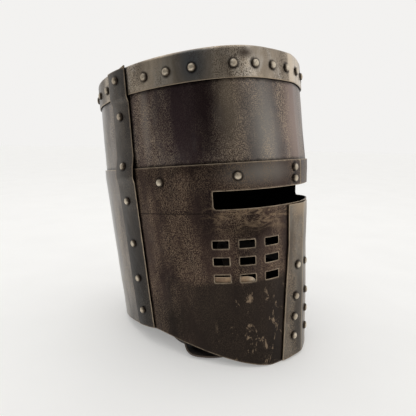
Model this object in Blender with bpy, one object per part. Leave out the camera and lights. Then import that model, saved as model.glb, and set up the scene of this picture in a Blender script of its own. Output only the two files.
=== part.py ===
"""A flat-topped great helm of riveted steel plates, with a leather liner and a buckled chin strap.

The plates are drawn upright: X to the wearer's left, Y to the rear, Z up from the brow seam. The helmet
stands tipped back on its chin and nape, so the plates hang from an empty, "lean", that tips them back and
puts the middle of the helmet's box over the origin. The chin strap hangs from "strap_hinge", on the line
through its two rivets. The front of the helmet faces -Y.
"""

import math

import bmesh
import bpy
import numpy as np
from mathutils import Matrix, Vector

# Driving dimensions, in metres.
STEEL = 0.0016  # plate thickness
GAP = 0.0003  # clearance between touching pieces
LEATHER = 0.0024
LEAN = math.radians(5.6)  # the helmet stands tipped back by this much

# The skull's outer face at four heights: height, half width, reach to the front, reach to the rear.
LEVELS = (
    (0.107, 0.0998, 0.1114, 0.1382),
    (0.000, 0.0976, 0.1177, 0.1407),
    (-0.010, 0.0976, 0.1177, 0.1407),
    (-0.214, 0.0832, 0.1075, 0.1282),
)
NOSE_PROUD = 0.0043  # the front comes to a low ridge this much further out
NOSE_REACH = 0.035  # and this far to either side of the middle

TOP_Z = 0.1053
TOP_SLOPE = 0.028  # the crown drops by this share of the way from front to rear
SLOPE_START_Z = 0.03  # and the slope fades out down to this height
BAND_LOW_Z = 0.0765
BROW_Z = 0.0
BROW_FOLD_Z = -0.010  # the lower plates start to taper here
SKULL_LOW_Z = -0.0245  # the skull plates end behind the brow
SLOT_TOP_Z = -0.0268
SLOT_LOW_Z = -0.0445
SLOT_END_RIGHT = 0.107  # distance round from the front to the end of the eye slot on each side
SLOT_END_LEFT = 0.087
BREATH_HEIGHT = 0.0078
BREATH_TOPS_Z = (-0.0758, -0.0932, -0.1110)
BREATH_COLUMNS = ((0.0390, 0.0565), (0.0677, 0.0838), (0.0942, 0.1108))

RIM_SIDE_Z = -0.1815  # the rim is highest just behind the middle of each side
RIM_SIDE_Y = 0.018
RIM_CHIN_Z = -0.2136
RIM_CHIN_Y = -0.102
RIM_NAPE_SLOPE = 0.075

STRIP_CENTRE = 0.2150  # distance round to the seam under the side strip
STRIP_WIDTH = 0.033
STRIP_STEP = 0.006  # the strip steps off the band within this height
STRIP_RISE_Z = 0.013  # from here down the strip stands off the skull to clear the brow
STRIP_FOLD_PROUD = 0.0014  # and at the brow fold it stands this far off the lower plates

NASAL_TOP_Z = -0.0458
NASAL_HALF_TOP = 0.0243
NASAL_HALF_LOW = 0.0358
NASAL_FLARE_Z = -0.087  # it widens from here down
NASAL_CREASE = 0.0022  # the fold stands this far proud of the plate's edges

RIVET_RADIUS = 0.0043
RIVET_HEIGHT = 0.0030
SHANK_RADIUS = 0.0019
TAIL_RADIUS = 0.0030
TAIL_HEIGHT = 0.0012
TAIL_GAP = 0.0008  # clearance inside the curve of the plates, which have flat facets
STRIP_RIVETS_Z = (0.0940, 0.0562, 0.0030, -0.0351, -0.0830, -0.1237, -0.1618)
NASAL_RIVETS = ((0.0098, -0.1115), (0.0130, -0.1455), (0.0157, -0.1680), (0.0168, -0.1893))
BAND_RIVET_Z = 0.0890
# Runs of rivets on the top band: side, distance round to the first, spacing and count.
BAND_RIVET_RUNS = (
    (-1, 0.0125, 0.0215, 4),
    (-1, 0.1165, 0.0277, 3),
    (-1, 0.2405, 0.0280, 5),
    (1, 0.0100, 0.0272, 7),
    (1, 0.2405, 0.0280, 5),
)

BAND_TOP_Z = 0.018  # the liner's headband
BAND_HEM_Z = SKULL_LOW_Z + 0.0015
TONGUES = 6
TONGUE_SHARE = 0.78  # how much of its place round the head each tongue fills
CROWN_RISE = 0.066  # the crown of the liner above its headband
CROWN_SHARE = 0.30  # the tongues stop at this share of the way out from the middle
CROWN_RADIUS = 0.040
TONGUE_LIFT = 0.001  # the tongues' feet stand this far above the headband's edge
TONGUE_IN = 0.0058  # the tongues start this far inside the skull's outer face

CHEEK_START = 0.069  # the leather strips behind the lower breaths, as distances round
CHEEK_END = 0.186
CHEEK_TOP_Z = -0.1135
CHEEK_LOW_Z = -0.1345

STRAP_WIDTH = 0.022
STRAP_RIVET_Z = STRIP_RIVETS_Z[5]  # the chin strap hangs from this rivet of each side strip
STRAP_IN = 0.0045  # from the skull line to the middle of the strap, where it hangs
STRAP_HOLE = 0.0027  # radius of the hole round the rivet
BURR_RADIUS = 0.0042  # the washer that holds the strap on its rivet
STRAP_FLOOR = 0.0035  # height of the strap's middle where it lies flat
STRAP_REACH = 0.095  # and how far in front of its hinge that is
BAR_X = -0.010  # the buckle's bar
BAR_Z = 0.0047
FRAME_LENGTH = 0.024
FRAME_WIDTH = 0.031
FRAME_ROD = 0.0032
PRONG_RADIUS = 0.0011
PRONG_LOOP = 0.0037  # from the middle of the bar to the middle of the prong's loop
KEEPER_X = -0.036
KEEPER_WIDTH = 0.008
KEEPER_THICKNESS = 0.0014
STRAP_TIP_X = -0.052

WALL_STEP = 0.013  # spacing of the plates' columns

BLACK_STEEL = ((0.045, 0.038, 0.034, 1), 0.45, 1.0)
BAND_STEEL = ((0.20, 0.17, 0.13, 1), 0.42, 1.0)
STRIP_STEEL = ((0.11, 0.11, 0.10, 1), 0.38, 1.0)
RIVET_STEEL = ((0.42, 0.36, 0.27, 1), 0.35, 1.0)
BROWN_LEATHER = ((0.10, 0.055, 0.03, 1), 0.7, 0.0)
TAN_LEATHER = ((0.34, 0.24, 0.14, 1), 0.75, 0.0)
BUCKLE_BRASS = ((0.55, 0.42, 0.2, 1), 0.35, 1.0)


def clear_scene():
    for obj in list(bpy.data.objects):
        bpy.data.objects.remove(obj, do_unlink=True)


def material(name, look):
    colour, roughness, metallic = look
    made = bpy.data.materials.get(name)
    if made:
        return made
    made = bpy.data.materials.new(name)
    made.use_nodes = True
    shader = made.node_tree.nodes["Principled BSDF"]
    shader.inputs["Base Color"].default_value = colour
    shader.inputs["Roughness"].default_value = roughness
    shader.inputs["Metallic"].default_value = metallic
    return made


def add_object(name, mesh, parent, finish, helper=False):
    obj = bpy.data.objects.new(name, mesh)
    bpy.context.scene.collection.objects.link(obj)
    obj.parent = parent
    if helper:
        obj.hide_render = True
        obj.display_type = "WIRE"
    else:
        mesh.materials.clear()
        mesh.materials.append(material(*finish))
    return obj


def finish_mesh(name, points, faces, sharp=32):
    """A mesh from points and faces, with its faces turned outwards and its round parts smooth."""
    mesh = bpy.data.meshes.new(name)
    mesh.from_pydata([tuple(p) for p in points], [], faces)
    work = bmesh.new()
    work.from_mesh(mesh)
    bmesh.ops.recalc_face_normals(work, faces=work.faces)
    work.to_mesh(mesh)
    work.free()
    mesh.shade_smooth()
    mesh.set_sharp_from_angle(angle=math.radians(sharp))
    return mesh


# The shape of the shell.


def section(z):
    """Half width, front reach and rear reach of the skull's outer face at a height."""
    heights = [level[0] for level in reversed(LEVELS)]
    return [np.interp(z, heights, [level[k] for level in reversed(LEVELS)]) for k in (1, 2, 3)]


def outline(turn, z):
    """A point of the right-hand outline, from the front (turn 0) to the back (turn pi), as (x, y)."""
    width, front, rear = section(z)
    if turn < math.pi / 2:
        x = width * math.sin(turn) ** (2 / 3)
        ridge = NOSE_PROUD * max(0.0, 1 - x / NOSE_REACH)
        return x, -front * math.cos(turn) - ridge
    return width * math.sin(turn), -rear * math.cos(turn)


def measure_round():
    """The outline's turns and, for each, the distance round from the front along the brow."""
    turns = math.pi * np.linspace(0, 1, 1500) ** 1.5
    points = np.array([outline(turn, BROW_Z) for turn in turns])
    steps = np.hypot(*np.diff(points, axis=0).T)
    return turns, np.concatenate([[0], np.cumsum(steps)])


TURNS, ROUND = measure_round()
HALF_ROUND = float(ROUND[-1])


def shell_point(along, z, out=0.0):
    """The point at a distance round from the front (the wearer's right is negative), a height, and a
    distance out from the skull's outer face."""
    turn = float(np.interp(abs(along), ROUND, TURNS))
    x, y = outline(turn, z)
    before = outline(max(turn - 0.004, 0.0), z)
    after = outline(min(turn + 0.004, math.pi), z)
    tangent = Vector((after[0] - before[0], after[1] - before[1])).normalized()
    normal = Vector((tangent.y, -tangent.x))
    if turn < 1e-9:
        normal = Vector((0, -1))
    if turn > math.pi - 1e-9:
        normal = Vector((0, 1))
    side = -1 if along < 0 else 1
    y += normal.y * out
    slope = TOP_SLOPE * min(max((z - SLOPE_START_Z) / (TOP_Z - SLOPE_START_Z), 0.0), 1.0)
    return Vector((side * (x + normal.x * out), y, z - slope * y))


def shell_frame(along, z, out, lift=0.0):
    """A frame lifted off the surface that lies out(z, along) from the skull, its Z axis along the normal."""

    def surface(a, h):
        return shell_point(a, h, out(h, a))

    step = 0.002
    across = surface(along + step, z) - surface(along - step, z)
    up = surface(along, z + step) - surface(along, z - step)
    normal = across.cross(up).normalized()
    up = normal.cross(across).normalized()
    across = up.cross(normal)
    turn = Matrix((across, up, normal)).transposed().to_4x4()
    return Matrix.Translation(surface(along, z) + normal * lift) @ turn


def rim_z(along):
    """Height of the lower rim: deep at the chin, highest at the sides, and a little lower at the nape."""
    y = shell_point(along, RIM_SIDE_Z).y
    if y > RIM_SIDE_Y:
        return RIM_SIDE_Z - RIM_NAPE_SLOPE * (y - RIM_SIDE_Y)
    share = min(1.0, (RIM_SIDE_Y - y) / (RIM_SIDE_Y - RIM_CHIN_Y))
    return RIM_SIDE_Z + (RIM_CHIN_Z - RIM_SIDE_Z) * share**1.3


def spread(start, end, step=WALL_STEP, also=()):
    """Distances from start to end, about a step apart, with the ones in also among them."""
    stops = sorted({start, end, *[a for a in also if start < a < end]})
    found = []
    for low, high in zip(stops, stops[1:]):
        count = max(1, round((high - low) / step))
        found += [low + (high - low) * k / count for k in range(count)]
    return found + [end]


def sheet_solid(name, columns, rows, inner, outer, holes=(), ring=False):
    """A bent plate. columns are distances round, rows give a height for each column, inner and outer give
    the distances out of its two faces at a height, and holes are boxes (low, high, bottom, top) left open."""
    count = len(columns)
    wrap = count if ring else count - 1
    heights = [[row(along) for row in rows] for along in columns]

    def is_open(i, j):
        middle = (columns[i] + columns[(i + 1) % count]) / 2
        z = (heights[i][j] + heights[i][j + 1]) / 2
        return any(a < middle < b and low < z < high for a, b, low, high in holes)

    kept = {(i, j) for i in range(wrap) for j in range(len(rows) - 1) if not is_open(i, j)}
    points, index, faces = [], {}, []

    def corner(i, j, face):
        key = (i % count, j, face)
        if key not in index:
            along, z = columns[key[0]], heights[key[0]][j]
            index[key] = len(points)
            points.append(shell_point(along, z, (outer if face else inner)(z, along)))
        return index[key]

    for i, j in sorted(kept):
        square = ((i, j), (i, j + 1), (i + 1, j + 1), (i + 1, j))
        faces.append([corner(a, b, 1) for a, b in square])
        faces.append([corner(a, b, 0) for a, b in reversed(square)])
        beside = ((i - 1, j), (i, j + 1), (i + 1, j), (i, j - 1))
        for k, (a, b) in enumerate(beside):
            neighbour = (a % count if ring else a, b)
            if neighbour not in kept:
                first, second = square[k], square[(k + 1) % 4]
                faces.append([corner(*first, 0), corner(*second, 0), corner(*second, 1), corner(*first, 1)])
    return finish_mesh(name, points, faces)


def level(z):
    return lambda along: z


def out_by(distance):
    return lambda z, along: distance


FACE_OUT = GAP + STEEL
STRIP_OUT = 2 * GAP + STEEL
SKULL = ("black_steel", BLACK_STEEL)
BAND = ("band_steel", BAND_STEEL)
STRIP = ("strip_steel", STRIP_STEEL)
RIVET = ("rivet_steel", RIVET_STEEL)
LINER = ("tan_leather", TAN_LEATHER)
STRAP = ("brown_leather", BROWN_LEATHER)
BRASS = ("buckle_brass", BUCKLE_BRASS)


# Plates.


def front_marks():
    """Distances round at which the front plates have the edges of the slot and of the breaths."""
    return [SLOT_END_LEFT, SLOT_END_RIGHT] + [edge for column in BREATH_COLUMNS for edge in column]


def all_round():
    """Distances once round the helmet, without the last one that would repeat the first."""
    half = spread(GAP / 2, STRIP_CENTRE - GAP, also=front_marks()) + spread(STRIP_CENTRE + GAP, HALF_ROUND)
    return [-along for along in reversed(half[:-1])] + half


def skull_plates(lean):
    rows = [level(TOP_Z - STEEL - 2 * GAP - 0.0012), level(BROW_Z), level(BROW_FOLD_Z), level(SKULL_LOW_Z)]
    half = spread(GAP / 2, STRIP_CENTRE - GAP, also=front_marks())
    front = [-along for along in reversed(half)] + half
    mesh = sheet_solid("skull_plate_front", front, rows, out_by(-STEEL), out_by(0.0))
    front_plate = add_object("skull_plate_front", mesh, lean, SKULL)
    # The rear plate runs from the left seam round the back to the right seam.
    half = spread(STRIP_CENTRE + GAP, HALF_ROUND)
    rear = half + [-along for along in reversed(half[:-1])]
    mesh = sheet_solid("skull_plate_rear", rear, rows, out_by(-STEEL), out_by(0.0))
    return front_plate, add_object("skull_plate_rear", mesh, lean, SKULL)


def face_rows():
    """Heights of the face plate's rows: the edges of the slot and of the breaths, then down to the rim."""
    marks = [BROW_Z, BROW_FOLD_Z, SLOT_TOP_Z, SLOT_LOW_Z]
    for top in BREATH_TOPS_Z:
        marks += [top, top - BREATH_HEIGHT]
    rows = [level(z) for z in marks]
    lowest = marks[-1]
    rows.append(lambda along: (lowest + rim_z(along)) / 2)
    rows.append(rim_z)
    return rows


def face_plate(name, side, lean):
    """One half of the face: brow strip, half of the eye slot and, below it, the breaths."""
    half = spread(GAP / 2, STRIP_CENTRE - GAP, also=front_marks())
    slot_end = SLOT_END_RIGHT if side < 0 else SLOT_END_LEFT
    holes = [(0, slot_end, SLOT_LOW_Z, SLOT_TOP_Z)]
    for low, high in BREATH_COLUMNS:
        holes += [(low, high, top - BREATH_HEIGHT, top) for top in BREATH_TOPS_Z]
    if side < 0:
        half = [-along for along in reversed(half)]
        holes = [(-high, -low, bottom, top) for low, high, bottom, top in holes]
    mesh = sheet_solid(name, half, face_rows(), out_by(GAP), out_by(FACE_OUT), holes)
    return add_object(name, mesh, lean, SKULL)


def nape_plate(lean):
    half = spread(STRIP_CENTRE + GAP, HALF_ROUND)
    columns = half + [-along for along in reversed(half[:-1])]
    rows = [level(BROW_Z), level(BROW_FOLD_Z), rim_z]
    mesh = sheet_solid("nape_plate", columns, rows, out_by(GAP), out_by(FACE_OUT))
    return add_object("nape_plate", mesh, lean, SKULL)


def top_band(lean):
    rows = [level(TOP_Z), level(BAND_LOW_Z)]
    mesh = sheet_solid("top_band", all_round(), rows, out_by(GAP), out_by(FACE_OUT), ring=True)
    return add_object("top_band", mesh, lean, BAND)


def top_plate(lean):
    """The flat crown, with a flange turned down inside the skull."""
    columns = all_round()
    face_z = TOP_Z - 0.0010
    under_z = face_z - STEEL
    flange_z = BAND_LOW_Z + 0.004
    inset = -STEEL - GAP
    rings = (
        (face_z, -GAP),
        (under_z, -GAP),
        (under_z, inset),
        (flange_z, inset),
        (flange_z, inset - STEEL),
        (under_z, inset - STEEL),
    )
    points = [shell_point(along, z, out) for z, out in rings for along in columns]
    count = len(columns)
    faces = [list(range(count))]
    for ring in range(len(rings) - 1):
        for k in range(count):
            after = (k + 1) % count
            low, high = ring * count, (ring + 1) * count
            faces.append([low + k, low + after, high + after, high + k])
    last = (len(rings) - 1) * count
    faces.append([last + k for k in reversed(range(count))])
    return add_object("top_plate", finish_mesh("top_plate", points, faces), lean, SKULL)


def strip_under(z, along):
    """How far out the strip's inner face lies: over the band, on the skull, then over the lower plates."""
    marks = (
        (BROW_FOLD_Z - STRIP_STEP, STRIP_OUT),
        (BROW_FOLD_Z, STRIP_OUT + STRIP_FOLD_PROUD),
        (BROW_Z + 0.0005, STRIP_OUT + STRIP_FOLD_PROUD / 2),
        (STRIP_RISE_Z, GAP),
        (BAND_LOW_Z - 0.0008 - STRIP_STEP, GAP),
        (BAND_LOW_Z - 0.0008, STRIP_OUT),
    )
    return float(np.interp(z, [m[0] for m in marks], [m[1] for m in marks]))


def side_strip(name, side, lean):
    centre = side * STRIP_CENTRE
    columns = spread(centre - STRIP_WIDTH / 2, centre + STRIP_WIDTH / 2)
    heights = (
        TOP_Z - 0.0008,
        BAND_LOW_Z - 0.0008,
        BAND_LOW_Z - 0.0008 - STRIP_STEP,
        STRIP_RISE_Z,
        BROW_Z + 0.0005,
        BROW_FOLD_Z,
        BROW_FOLD_Z - STRIP_STEP,
    )
    rows = [level(z) for z in heights] + [lambda along: rim_z(along) + 0.0008]
    mesh = sheet_solid(name, columns, rows, strip_under, strip_face)
    return add_object(name, mesh, lean, STRIP)


def nasal_half_width(z):
    return float(np.interp(z, [RIM_CHIN_Z, NASAL_FLARE_Z], [NASAL_HALF_LOW, NASAL_HALF_TOP]))


def nasal_plate(lean):
    """The creased plate over the seam of the two face plates."""
    shares = np.linspace(-1, 1, 9)
    heights = [NASAL_TOP_Z + (RIM_CHIN_Z + 0.0006 - NASAL_TOP_Z) * k / 8 for k in range(9)]
    points, faces = [], []
    columns = len(shares)
    for face in (0, 1):
        for z in heights:
            for share in shares:
                along = share * nasal_half_width(z)
                points.append(shell_point(along, z, nasal_under(z, along) + STEEL * face))
    size = columns * len(heights)
    for j in range(len(heights) - 1):
        for i in range(columns - 1):
            a = j * columns + i
            square = [a, a + 1, a + 1 + columns, a + columns]
            faces.append([size + k for k in reversed(square)])
            faces.append(square)
    border = [i for i in range(columns)]
    border += [j * columns + columns - 1 for j in range(1, len(heights))]
    border += [size - 2 - i for i in range(columns - 1)]
    border += [j * columns for j in range(len(heights) - 2, 0, -1)]
    for a, b in zip(border, border[1:] + border[:1]):
        faces.append([a, b, size + b, size + a])
    return add_object("nasal_plate", finish_mesh("nasal_plate", points, faces, 40), lean, STRIP)


# Rivets.


def turned(name, profile, sides):
    """A solid turned about Z from a profile of (radius, height), which starts and ends on the axis."""
    points, faces, rings = [], [], []
    for radius, height in profile:
        if radius == 0:
            rings.append([len(points)] * sides)
            points.append((0, 0, height))
            continue
        rings.append(list(range(len(points), len(points) + sides)))
        for k in range(sides):
            angle = 2 * math.pi * k / sides
            points.append((radius * math.cos(angle), radius * math.sin(angle), height))
    for above, below in zip(rings, rings[1:]):
        for k in range(sides):
            after = (k + 1) % sides
            corners = [above[k], above[after], below[after], below[k]]
            faces.append(list(dict.fromkeys(corners)))
    return finish_mesh(name, points, faces, 50)


def rivet_mesh(length, tail):
    """A round-headed rivet: its head sits at height 0, and its tail is spread at the far end."""
    name = f"rivet_{round(length * 1e4)}"
    made = bpy.data.meshes.get(name)
    if made:
        return made
    dome = [(RIVET_RADIUS * math.cos(a), RIVET_HEIGHT * math.sin(a)) for a in (0.95, 0.35)]
    profile = [(0, RIVET_HEIGHT), *dome, (RIVET_RADIUS * 0.96, 0)]
    profile += [(SHANK_RADIUS, 0), (SHANK_RADIUS, -length), (tail, -length)]
    profile += [(tail * 0.8, -length - TAIL_HEIGHT), (0, -length - TAIL_HEIGHT)]
    return turned(name, profile, 8)


def add_rivet(name, along, z, outer, inner, lean, shafts, tail=TAIL_RADIUS):
    """A rivet from the face that lies outer(z, along) out through to a distance out, and its hole's frame."""
    mesh = rivet_mesh(outer(z, along) - inner + GAP + TAIL_GAP, tail)
    obj = add_object(name, mesh, lean, RIVET)
    frame = shell_frame(along, z, outer, GAP)
    obj.matrix_local = frame
    shafts.append(frame)


def strip_face(z, along):
    return strip_under(z, along) + STEEL


def nasal_under(z, along):
    return STRIP_OUT + NASAL_CREASE * max(0.0, 1 - abs(along) / nasal_half_width(z))


def nasal_face(z, along):
    return nasal_under(z, along) + STEEL


def plate_rivets(lean, shafts):
    for side, word in ((-1, "right"), (1, "left")):
        for k, z in enumerate(STRIP_RIVETS_Z, 1):
            inner = -STEEL if z > SKULL_LOW_Z else GAP
            if z > BAND_LOW_Z:
                inner = -2 * STEEL - GAP
            if BAND_HEM_Z < z < BAND_TOP_Z:
                inner = -STEEL - GAP - LEATHER
            tail = TAIL_RADIUS
            if z == STRAP_RIVET_Z:
                inner = -STRAP_IN - LEATHER / 2 - 0.0004
                tail = BURR_RADIUS
            name = f"strip_rivet_{word}_{k}"
            add_rivet(name, side * STRIP_CENTRE, z, strip_face, inner, lean, shafts, tail)
        for k, (along, z) in enumerate(NASAL_RIVETS, 1):
            add_rivet(f"nasal_rivet_{word}_{k}", side * along, z, nasal_face, GAP, lean, shafts)
    brow_inner = -STEEL - GAP - LEATHER
    spots = [("right_1", -0.1636, -0.0158), ("right_2", -0.0821, -0.0127)]
    spots += [("right_3", -0.0121, -0.0079), ("right_4", -0.0121, -0.0193)]
    spots += [("left_1", 0.1636, -0.0158), ("left_2", 0.0821, -0.0127)]
    spots += [("rear_1", HALF_ROUND - 0.042, -0.0145), ("rear_2", HALF_ROUND, -0.0145)]
    spots += [("rear_3", 0.042 - HALF_ROUND, -0.0145)]
    for word, along, z in spots:
        add_rivet(f"brow_rivet_{word}", along, z, out_by(FACE_OUT), brow_inner, lean, shafts)


def prisms(name, frames, radius, bottom, top, sides, parent):
    """A helper of upright prisms, one in each frame."""
    points, faces = [], []
    for frame in frames:
        start = len(points)
        for height in (bottom, top):
            for k in range(sides):
                angle = 2 * math.pi * (k + 0.5) / sides
                points.append(frame @ Vector((radius * math.cos(angle), radius * math.sin(angle), height)))
        faces.append([start + k for k in range(sides)])
        faces.append([start + sides + k for k in range(sides)])
        for k in range(sides):
            after = (k + 1) % sides
            faces.append([start + k, start + after, start + sides + after, start + sides + k])
    return add_object(name, finish_mesh(name, points, faces), parent, None, helper=True)


def drill(plates, shafts, lean):
    holes = prisms("rivet_holes", shafts, SHANK_RADIUS + GAP + 0.0001, -0.016, 0.002, 8, lean)
    for plate in plates:
        cut = plate.modifiers.new("rivet holes", "BOOLEAN")
        cut.operation = "DIFFERENCE"
        cut.solver = "EXACT"
        cut.object = holes


def band_rivet_places():
    """Distances round of the top band's rivets."""
    runs = BAND_RIVET_RUNS
    return [side * (first + step * k) for side, first, step, count in runs for k in range(count)]


def band_rivet_heads(band, lean):
    """The top band's own rivet heads, which are one solid with it."""
    frames = [shell_frame(along, BAND_RIVET_Z, out_by(FACE_OUT)) for along in band_rivet_places()]
    points, faces = [], []
    rings = ((RIVET_RADIUS * 0.98, -0.0006), (RIVET_RADIUS, 0.0003))
    rings += ((RIVET_RADIUS * 0.8, 0.6 * RIVET_HEIGHT), (RIVET_RADIUS * 0.4, 0.93 * RIVET_HEIGHT))
    sides = 8
    for frame in frames:
        start = len(points)
        for radius, height in rings:
            for k in range(sides):
                angle = 2 * math.pi * k / sides
                points.append(frame @ Vector((radius * math.cos(angle), radius * math.sin(angle), height)))
        for ring in range(len(rings) - 1):
            for k in range(sides):
                after = (k + 1) % sides
                low, high = start + ring * sides, start + (ring + 1) * sides
                faces.append([low + k, low + after, high + after, high + k])
        faces.append([start + k for k in range(sides)])
        faces.append([start + (len(rings) - 1) * sides + k for k in range(sides)])
    heads = add_object("band_heads", finish_mesh("band_heads", points, faces), lean, None, helper=True)
    join = band.modifiers.new("rivet heads", "BOOLEAN")
    join.operation = "UNION"
    join.solver = "EXACT"
    join.object = heads


# The liner.


def head_band(lean):
    rows = [level(BAND_TOP_Z), level(BROW_FOLD_Z), level(BAND_HEM_Z)]
    inner = out_by(-STEEL - GAP - LEATHER)
    outer = out_by(-STEEL - GAP)
    mesh = sheet_solid("liner_headband", all_round(), rows, inner, outer, ring=True)
    return add_object("liner_headband", mesh, lean, LINER)


def liner_middle():
    return (shell_point(0, BAND_TOP_Z) + shell_point(HALF_ROUND, BAND_TOP_Z)) / 2


def tongue_point(along, climb, depth):
    """A point on the liner's dome: climb runs from 0 at the headband to 1 at the crown."""
    foot = shell_point(along, BAND_TOP_Z, -TONGUE_IN)
    middle = liner_middle()
    angle = climb * math.acos(CROWN_SHARE)
    out = math.cos(angle)
    rise = (CROWN_RISE - depth) * math.sin(angle) / math.sin(math.acos(CROWN_SHARE))
    flat = (foot - middle) * out
    flat.z = 0
    flat -= flat.normalized() * depth * math.cos(angle)
    return Vector((middle.x + flat.x, middle.y + flat.y, BAND_TOP_Z + TONGUE_LIFT + rise))


def grid_block(name, near, far):
    """A closed block between two matching grids of points."""
    rows, columns = len(near), len(near[0])
    size = rows * columns
    points = [p for row in near for p in row] + [p for row in far for p in row]
    faces = []
    for j in range(rows - 1):
        for i in range(columns - 1):
            a = j * columns + i
            square = [a, a + 1, a + 1 + columns, a + columns]
            faces.append(square)
            faces.append([size + k for k in reversed(square)])
    border = list(range(columns))
    border += [j * columns + columns - 1 for j in range(1, rows)]
    border += [size - 2 - i for i in range(columns - 1)]
    border += [j * columns for j in range(rows - 2, 0, -1)]
    for a, b in zip(border, border[1:] + border[:1]):
        faces.append([a, b, size + b, size + a])
    return finish_mesh(name, points, faces, 40)


def liner_tongues(lean):
    pitch = 2 * HALF_ROUND / TONGUES
    for k in range(TONGUES):
        centre = (k + 0.5) * pitch
        stops = [centre + pitch * TONGUE_SHARE * (share - 0.5) for share in np.linspace(0, 1, 6)]
        stops = [along - 2 * HALF_ROUND if along > HALF_ROUND else along for along in stops]
        grids = []
        for depth in (0.0, LEATHER):
            grids.append([[tongue_point(s, climb, depth) for s in stops] for climb in np.linspace(0, 1, 7)])
        name = f"liner_tongue_{k + 1}"
        add_object(name, grid_block(name, *grids), lean, LINER)


def crown_disc(lean):
    """The round leather over the tongues' ends, which are sewn to it."""
    middle = liner_middle()
    turns = np.linspace(0, 2 * math.pi, 24, endpoint=False)
    seat_z = BAND_TOP_Z + TONGUE_LIFT + CROWN_RISE + GAP
    points = []
    for z in (seat_z + LEATHER, seat_z):
        for a in turns:
            points.append((middle.x + CROWN_RADIUS * math.cos(a), middle.y + CROWN_RADIUS * math.sin(a), z))
    count = len(turns)
    faces = [list(range(count)), [count + k for k in range(count)]]
    faces += [[k, (k + 1) % count, count + (k + 1) % count, count + k] for k in range(count)]
    return add_object("liner_crown_disc", finish_mesh("liner_crown_disc", points, faces), lean, LINER)


def cheek_strips(lean):
    """Leather strips stuck inside the face plates, behind the lowest breaths, with rounded front ends."""
    drop = CHEEK_TOP_Z - CHEEK_LOW_Z
    for side, word in ((-1, "right"), (1, "left")):
        grids = []
        for out in (0.0, -LEATHER):
            rows = []
            for share in np.linspace(0, 1, 5):
                z = CHEEK_TOP_Z - drop * share
                start = CHEEK_START + drop * 0.5 * (1 - math.sqrt(max(0.0, 1 - (2 * share - 1) ** 2)))
                stops = np.linspace(start, CHEEK_END, 10)
                rows.append([shell_point(side * along, z, out) for along in stops])
            grids.append(rows)
        name = f"cheek_strip_{word}"
        add_object(name, grid_block(name, *grids), lean, LINER)


# The chin strap. It is drawn in the standing frame, with the floor at height 0.


def smooth_path(points, steps):
    """Points on a smooth curve through the given ones."""
    ends = [2 * points[0] - points[1], *points, 2 * points[-1] - points[-2]]
    found = []
    for a, b, c, d in zip(ends, ends[1:], ends[2:], ends[3:]):
        for k in range(steps):
            u = k / steps
            bend = (2 * a - 5 * b + 4 * c - d) * u * u + (3 * b - a - 3 * c + d) * u**3
            found.append(0.5 * (2 * b + (c - a) * u + bend))
    return found + [points[-1]]


def ribbon(name, stops, steps, thickness):
    """A strap through stops, each a point and the way from there to the strap's edge."""
    path = smooth_path([Vector(point) for point, _ in stops], steps)
    edges = smooth_path([Vector(edge) for _, edge in stops], steps)
    near, far = [], []
    for k, middle in enumerate(path):
        ahead = (path[min(k + 1, len(path) - 1)] - path[max(k - 1, 0)]).normalized()
        side = (edges[k] - ahead * edges[k].dot(ahead)).normalized() * edges[k].length
        lift = ahead.cross(side).normalized() * thickness / 2
        near.append([middle + lift - side, middle + lift, middle + lift + side])
        far.append([middle - lift - side, middle - lift, middle - lift + side])
    return grid_block(name, near, far)


def strap_run(side, hinge, reach):
    """A half's way from its rivet, reach to the side, down to the floor, where it turns flat."""
    half = STRAP_WIDTH / 2
    floor = STRAP_FLOOR - hinge.z
    upright = (0, -0.82, 0.57)
    run = (
        (0.0, 0.0048, 0.0068, upright, 0.50),
        (0.0, 0.0028, 0.0040, upright, 0.78),
        (0.0, 0.0, 0.0, upright, 0.88),
        (-0.0010, -0.0085, -0.012, upright, 0.94),
        (-0.0050, -0.018, -0.025, upright, 1.0),
        (-0.0060, -0.031, -0.043, (0.05 * side, -0.82, 0.55), 1.0),
        (-0.0058, -0.044, -0.058, (0.25 * side, -0.80, 0.50), 1.0),
        (-0.0062, -0.055, floor + 0.0055, (0.6 * side, -0.6, 0.40), 1.0),
        (-0.0080, -0.066, floor + 0.0008, (0.95 * side, -0.25, 0.03), 1.0),
        (-0.0125, -0.079, floor, (0.85 * side, -0.5, 0), 1.0),
        (-0.0225, -0.0905, floor, (0.5 * side, -0.85, 0), 1.0),
        (-0.0370, -STRAP_REACH, floor, (0, -1, 0), 1.0),
    )
    stops = []
    for inward, back, rise, edge, share in run:
        point = (side * (reach + inward), hinge.y + back, hinge.z + rise)
        stops.append((point, Vector(edge).normalized() * half * share))
    return stops


def box_block(name, low, high):
    corners = [(x, y, z) for x in (low[0], high[0]) for y in (low[1], high[1]) for z in (low[2], high[2])]
    faces = [(0, 1, 3, 2), (4, 5, 7, 6), (0, 1, 5, 4), (2, 3, 7, 6), (0, 2, 6, 4), (1, 3, 7, 5)]
    return finish_mesh(name, corners, faces)


def cut_box(obj, name, low, high):
    """Cuts a box, given in the standing frame, out of an object."""
    cutter = add_object(name, box_block(name, low, high), obj.parent, None, helper=True)
    cutter.location = obj.location
    cut = obj.modifiers.new(name, "BOOLEAN")
    cut.operation = "DIFFERENCE"
    cut.solver = "EXACT"
    cut.object = cutter


def cut_rivet_hole(obj, side, hinge, reach):
    across = Matrix.Rotation(math.pi / 2, 4, "Y")
    frame = Matrix.Translation((side * reach, hinge.y, hinge.z)) @ across
    cutter = prisms(obj.name + "_hole", [frame], STRAP_HOLE, -0.006, 0.006, 10, obj.parent)
    cutter.location = obj.location
    cut = obj.modifiers.new("rivet hole", "BOOLEAN")
    cut.operation = "DIFFERENCE"
    cut.solver = "EXACT"
    cut.object = cutter


def hang(name, mesh, parent, finish):
    """Adds a piece that is drawn in the standing frame under an empty of that frame."""
    obj = add_object(name, mesh, parent, finish)
    obj.location = -parent.location
    return obj


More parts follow.
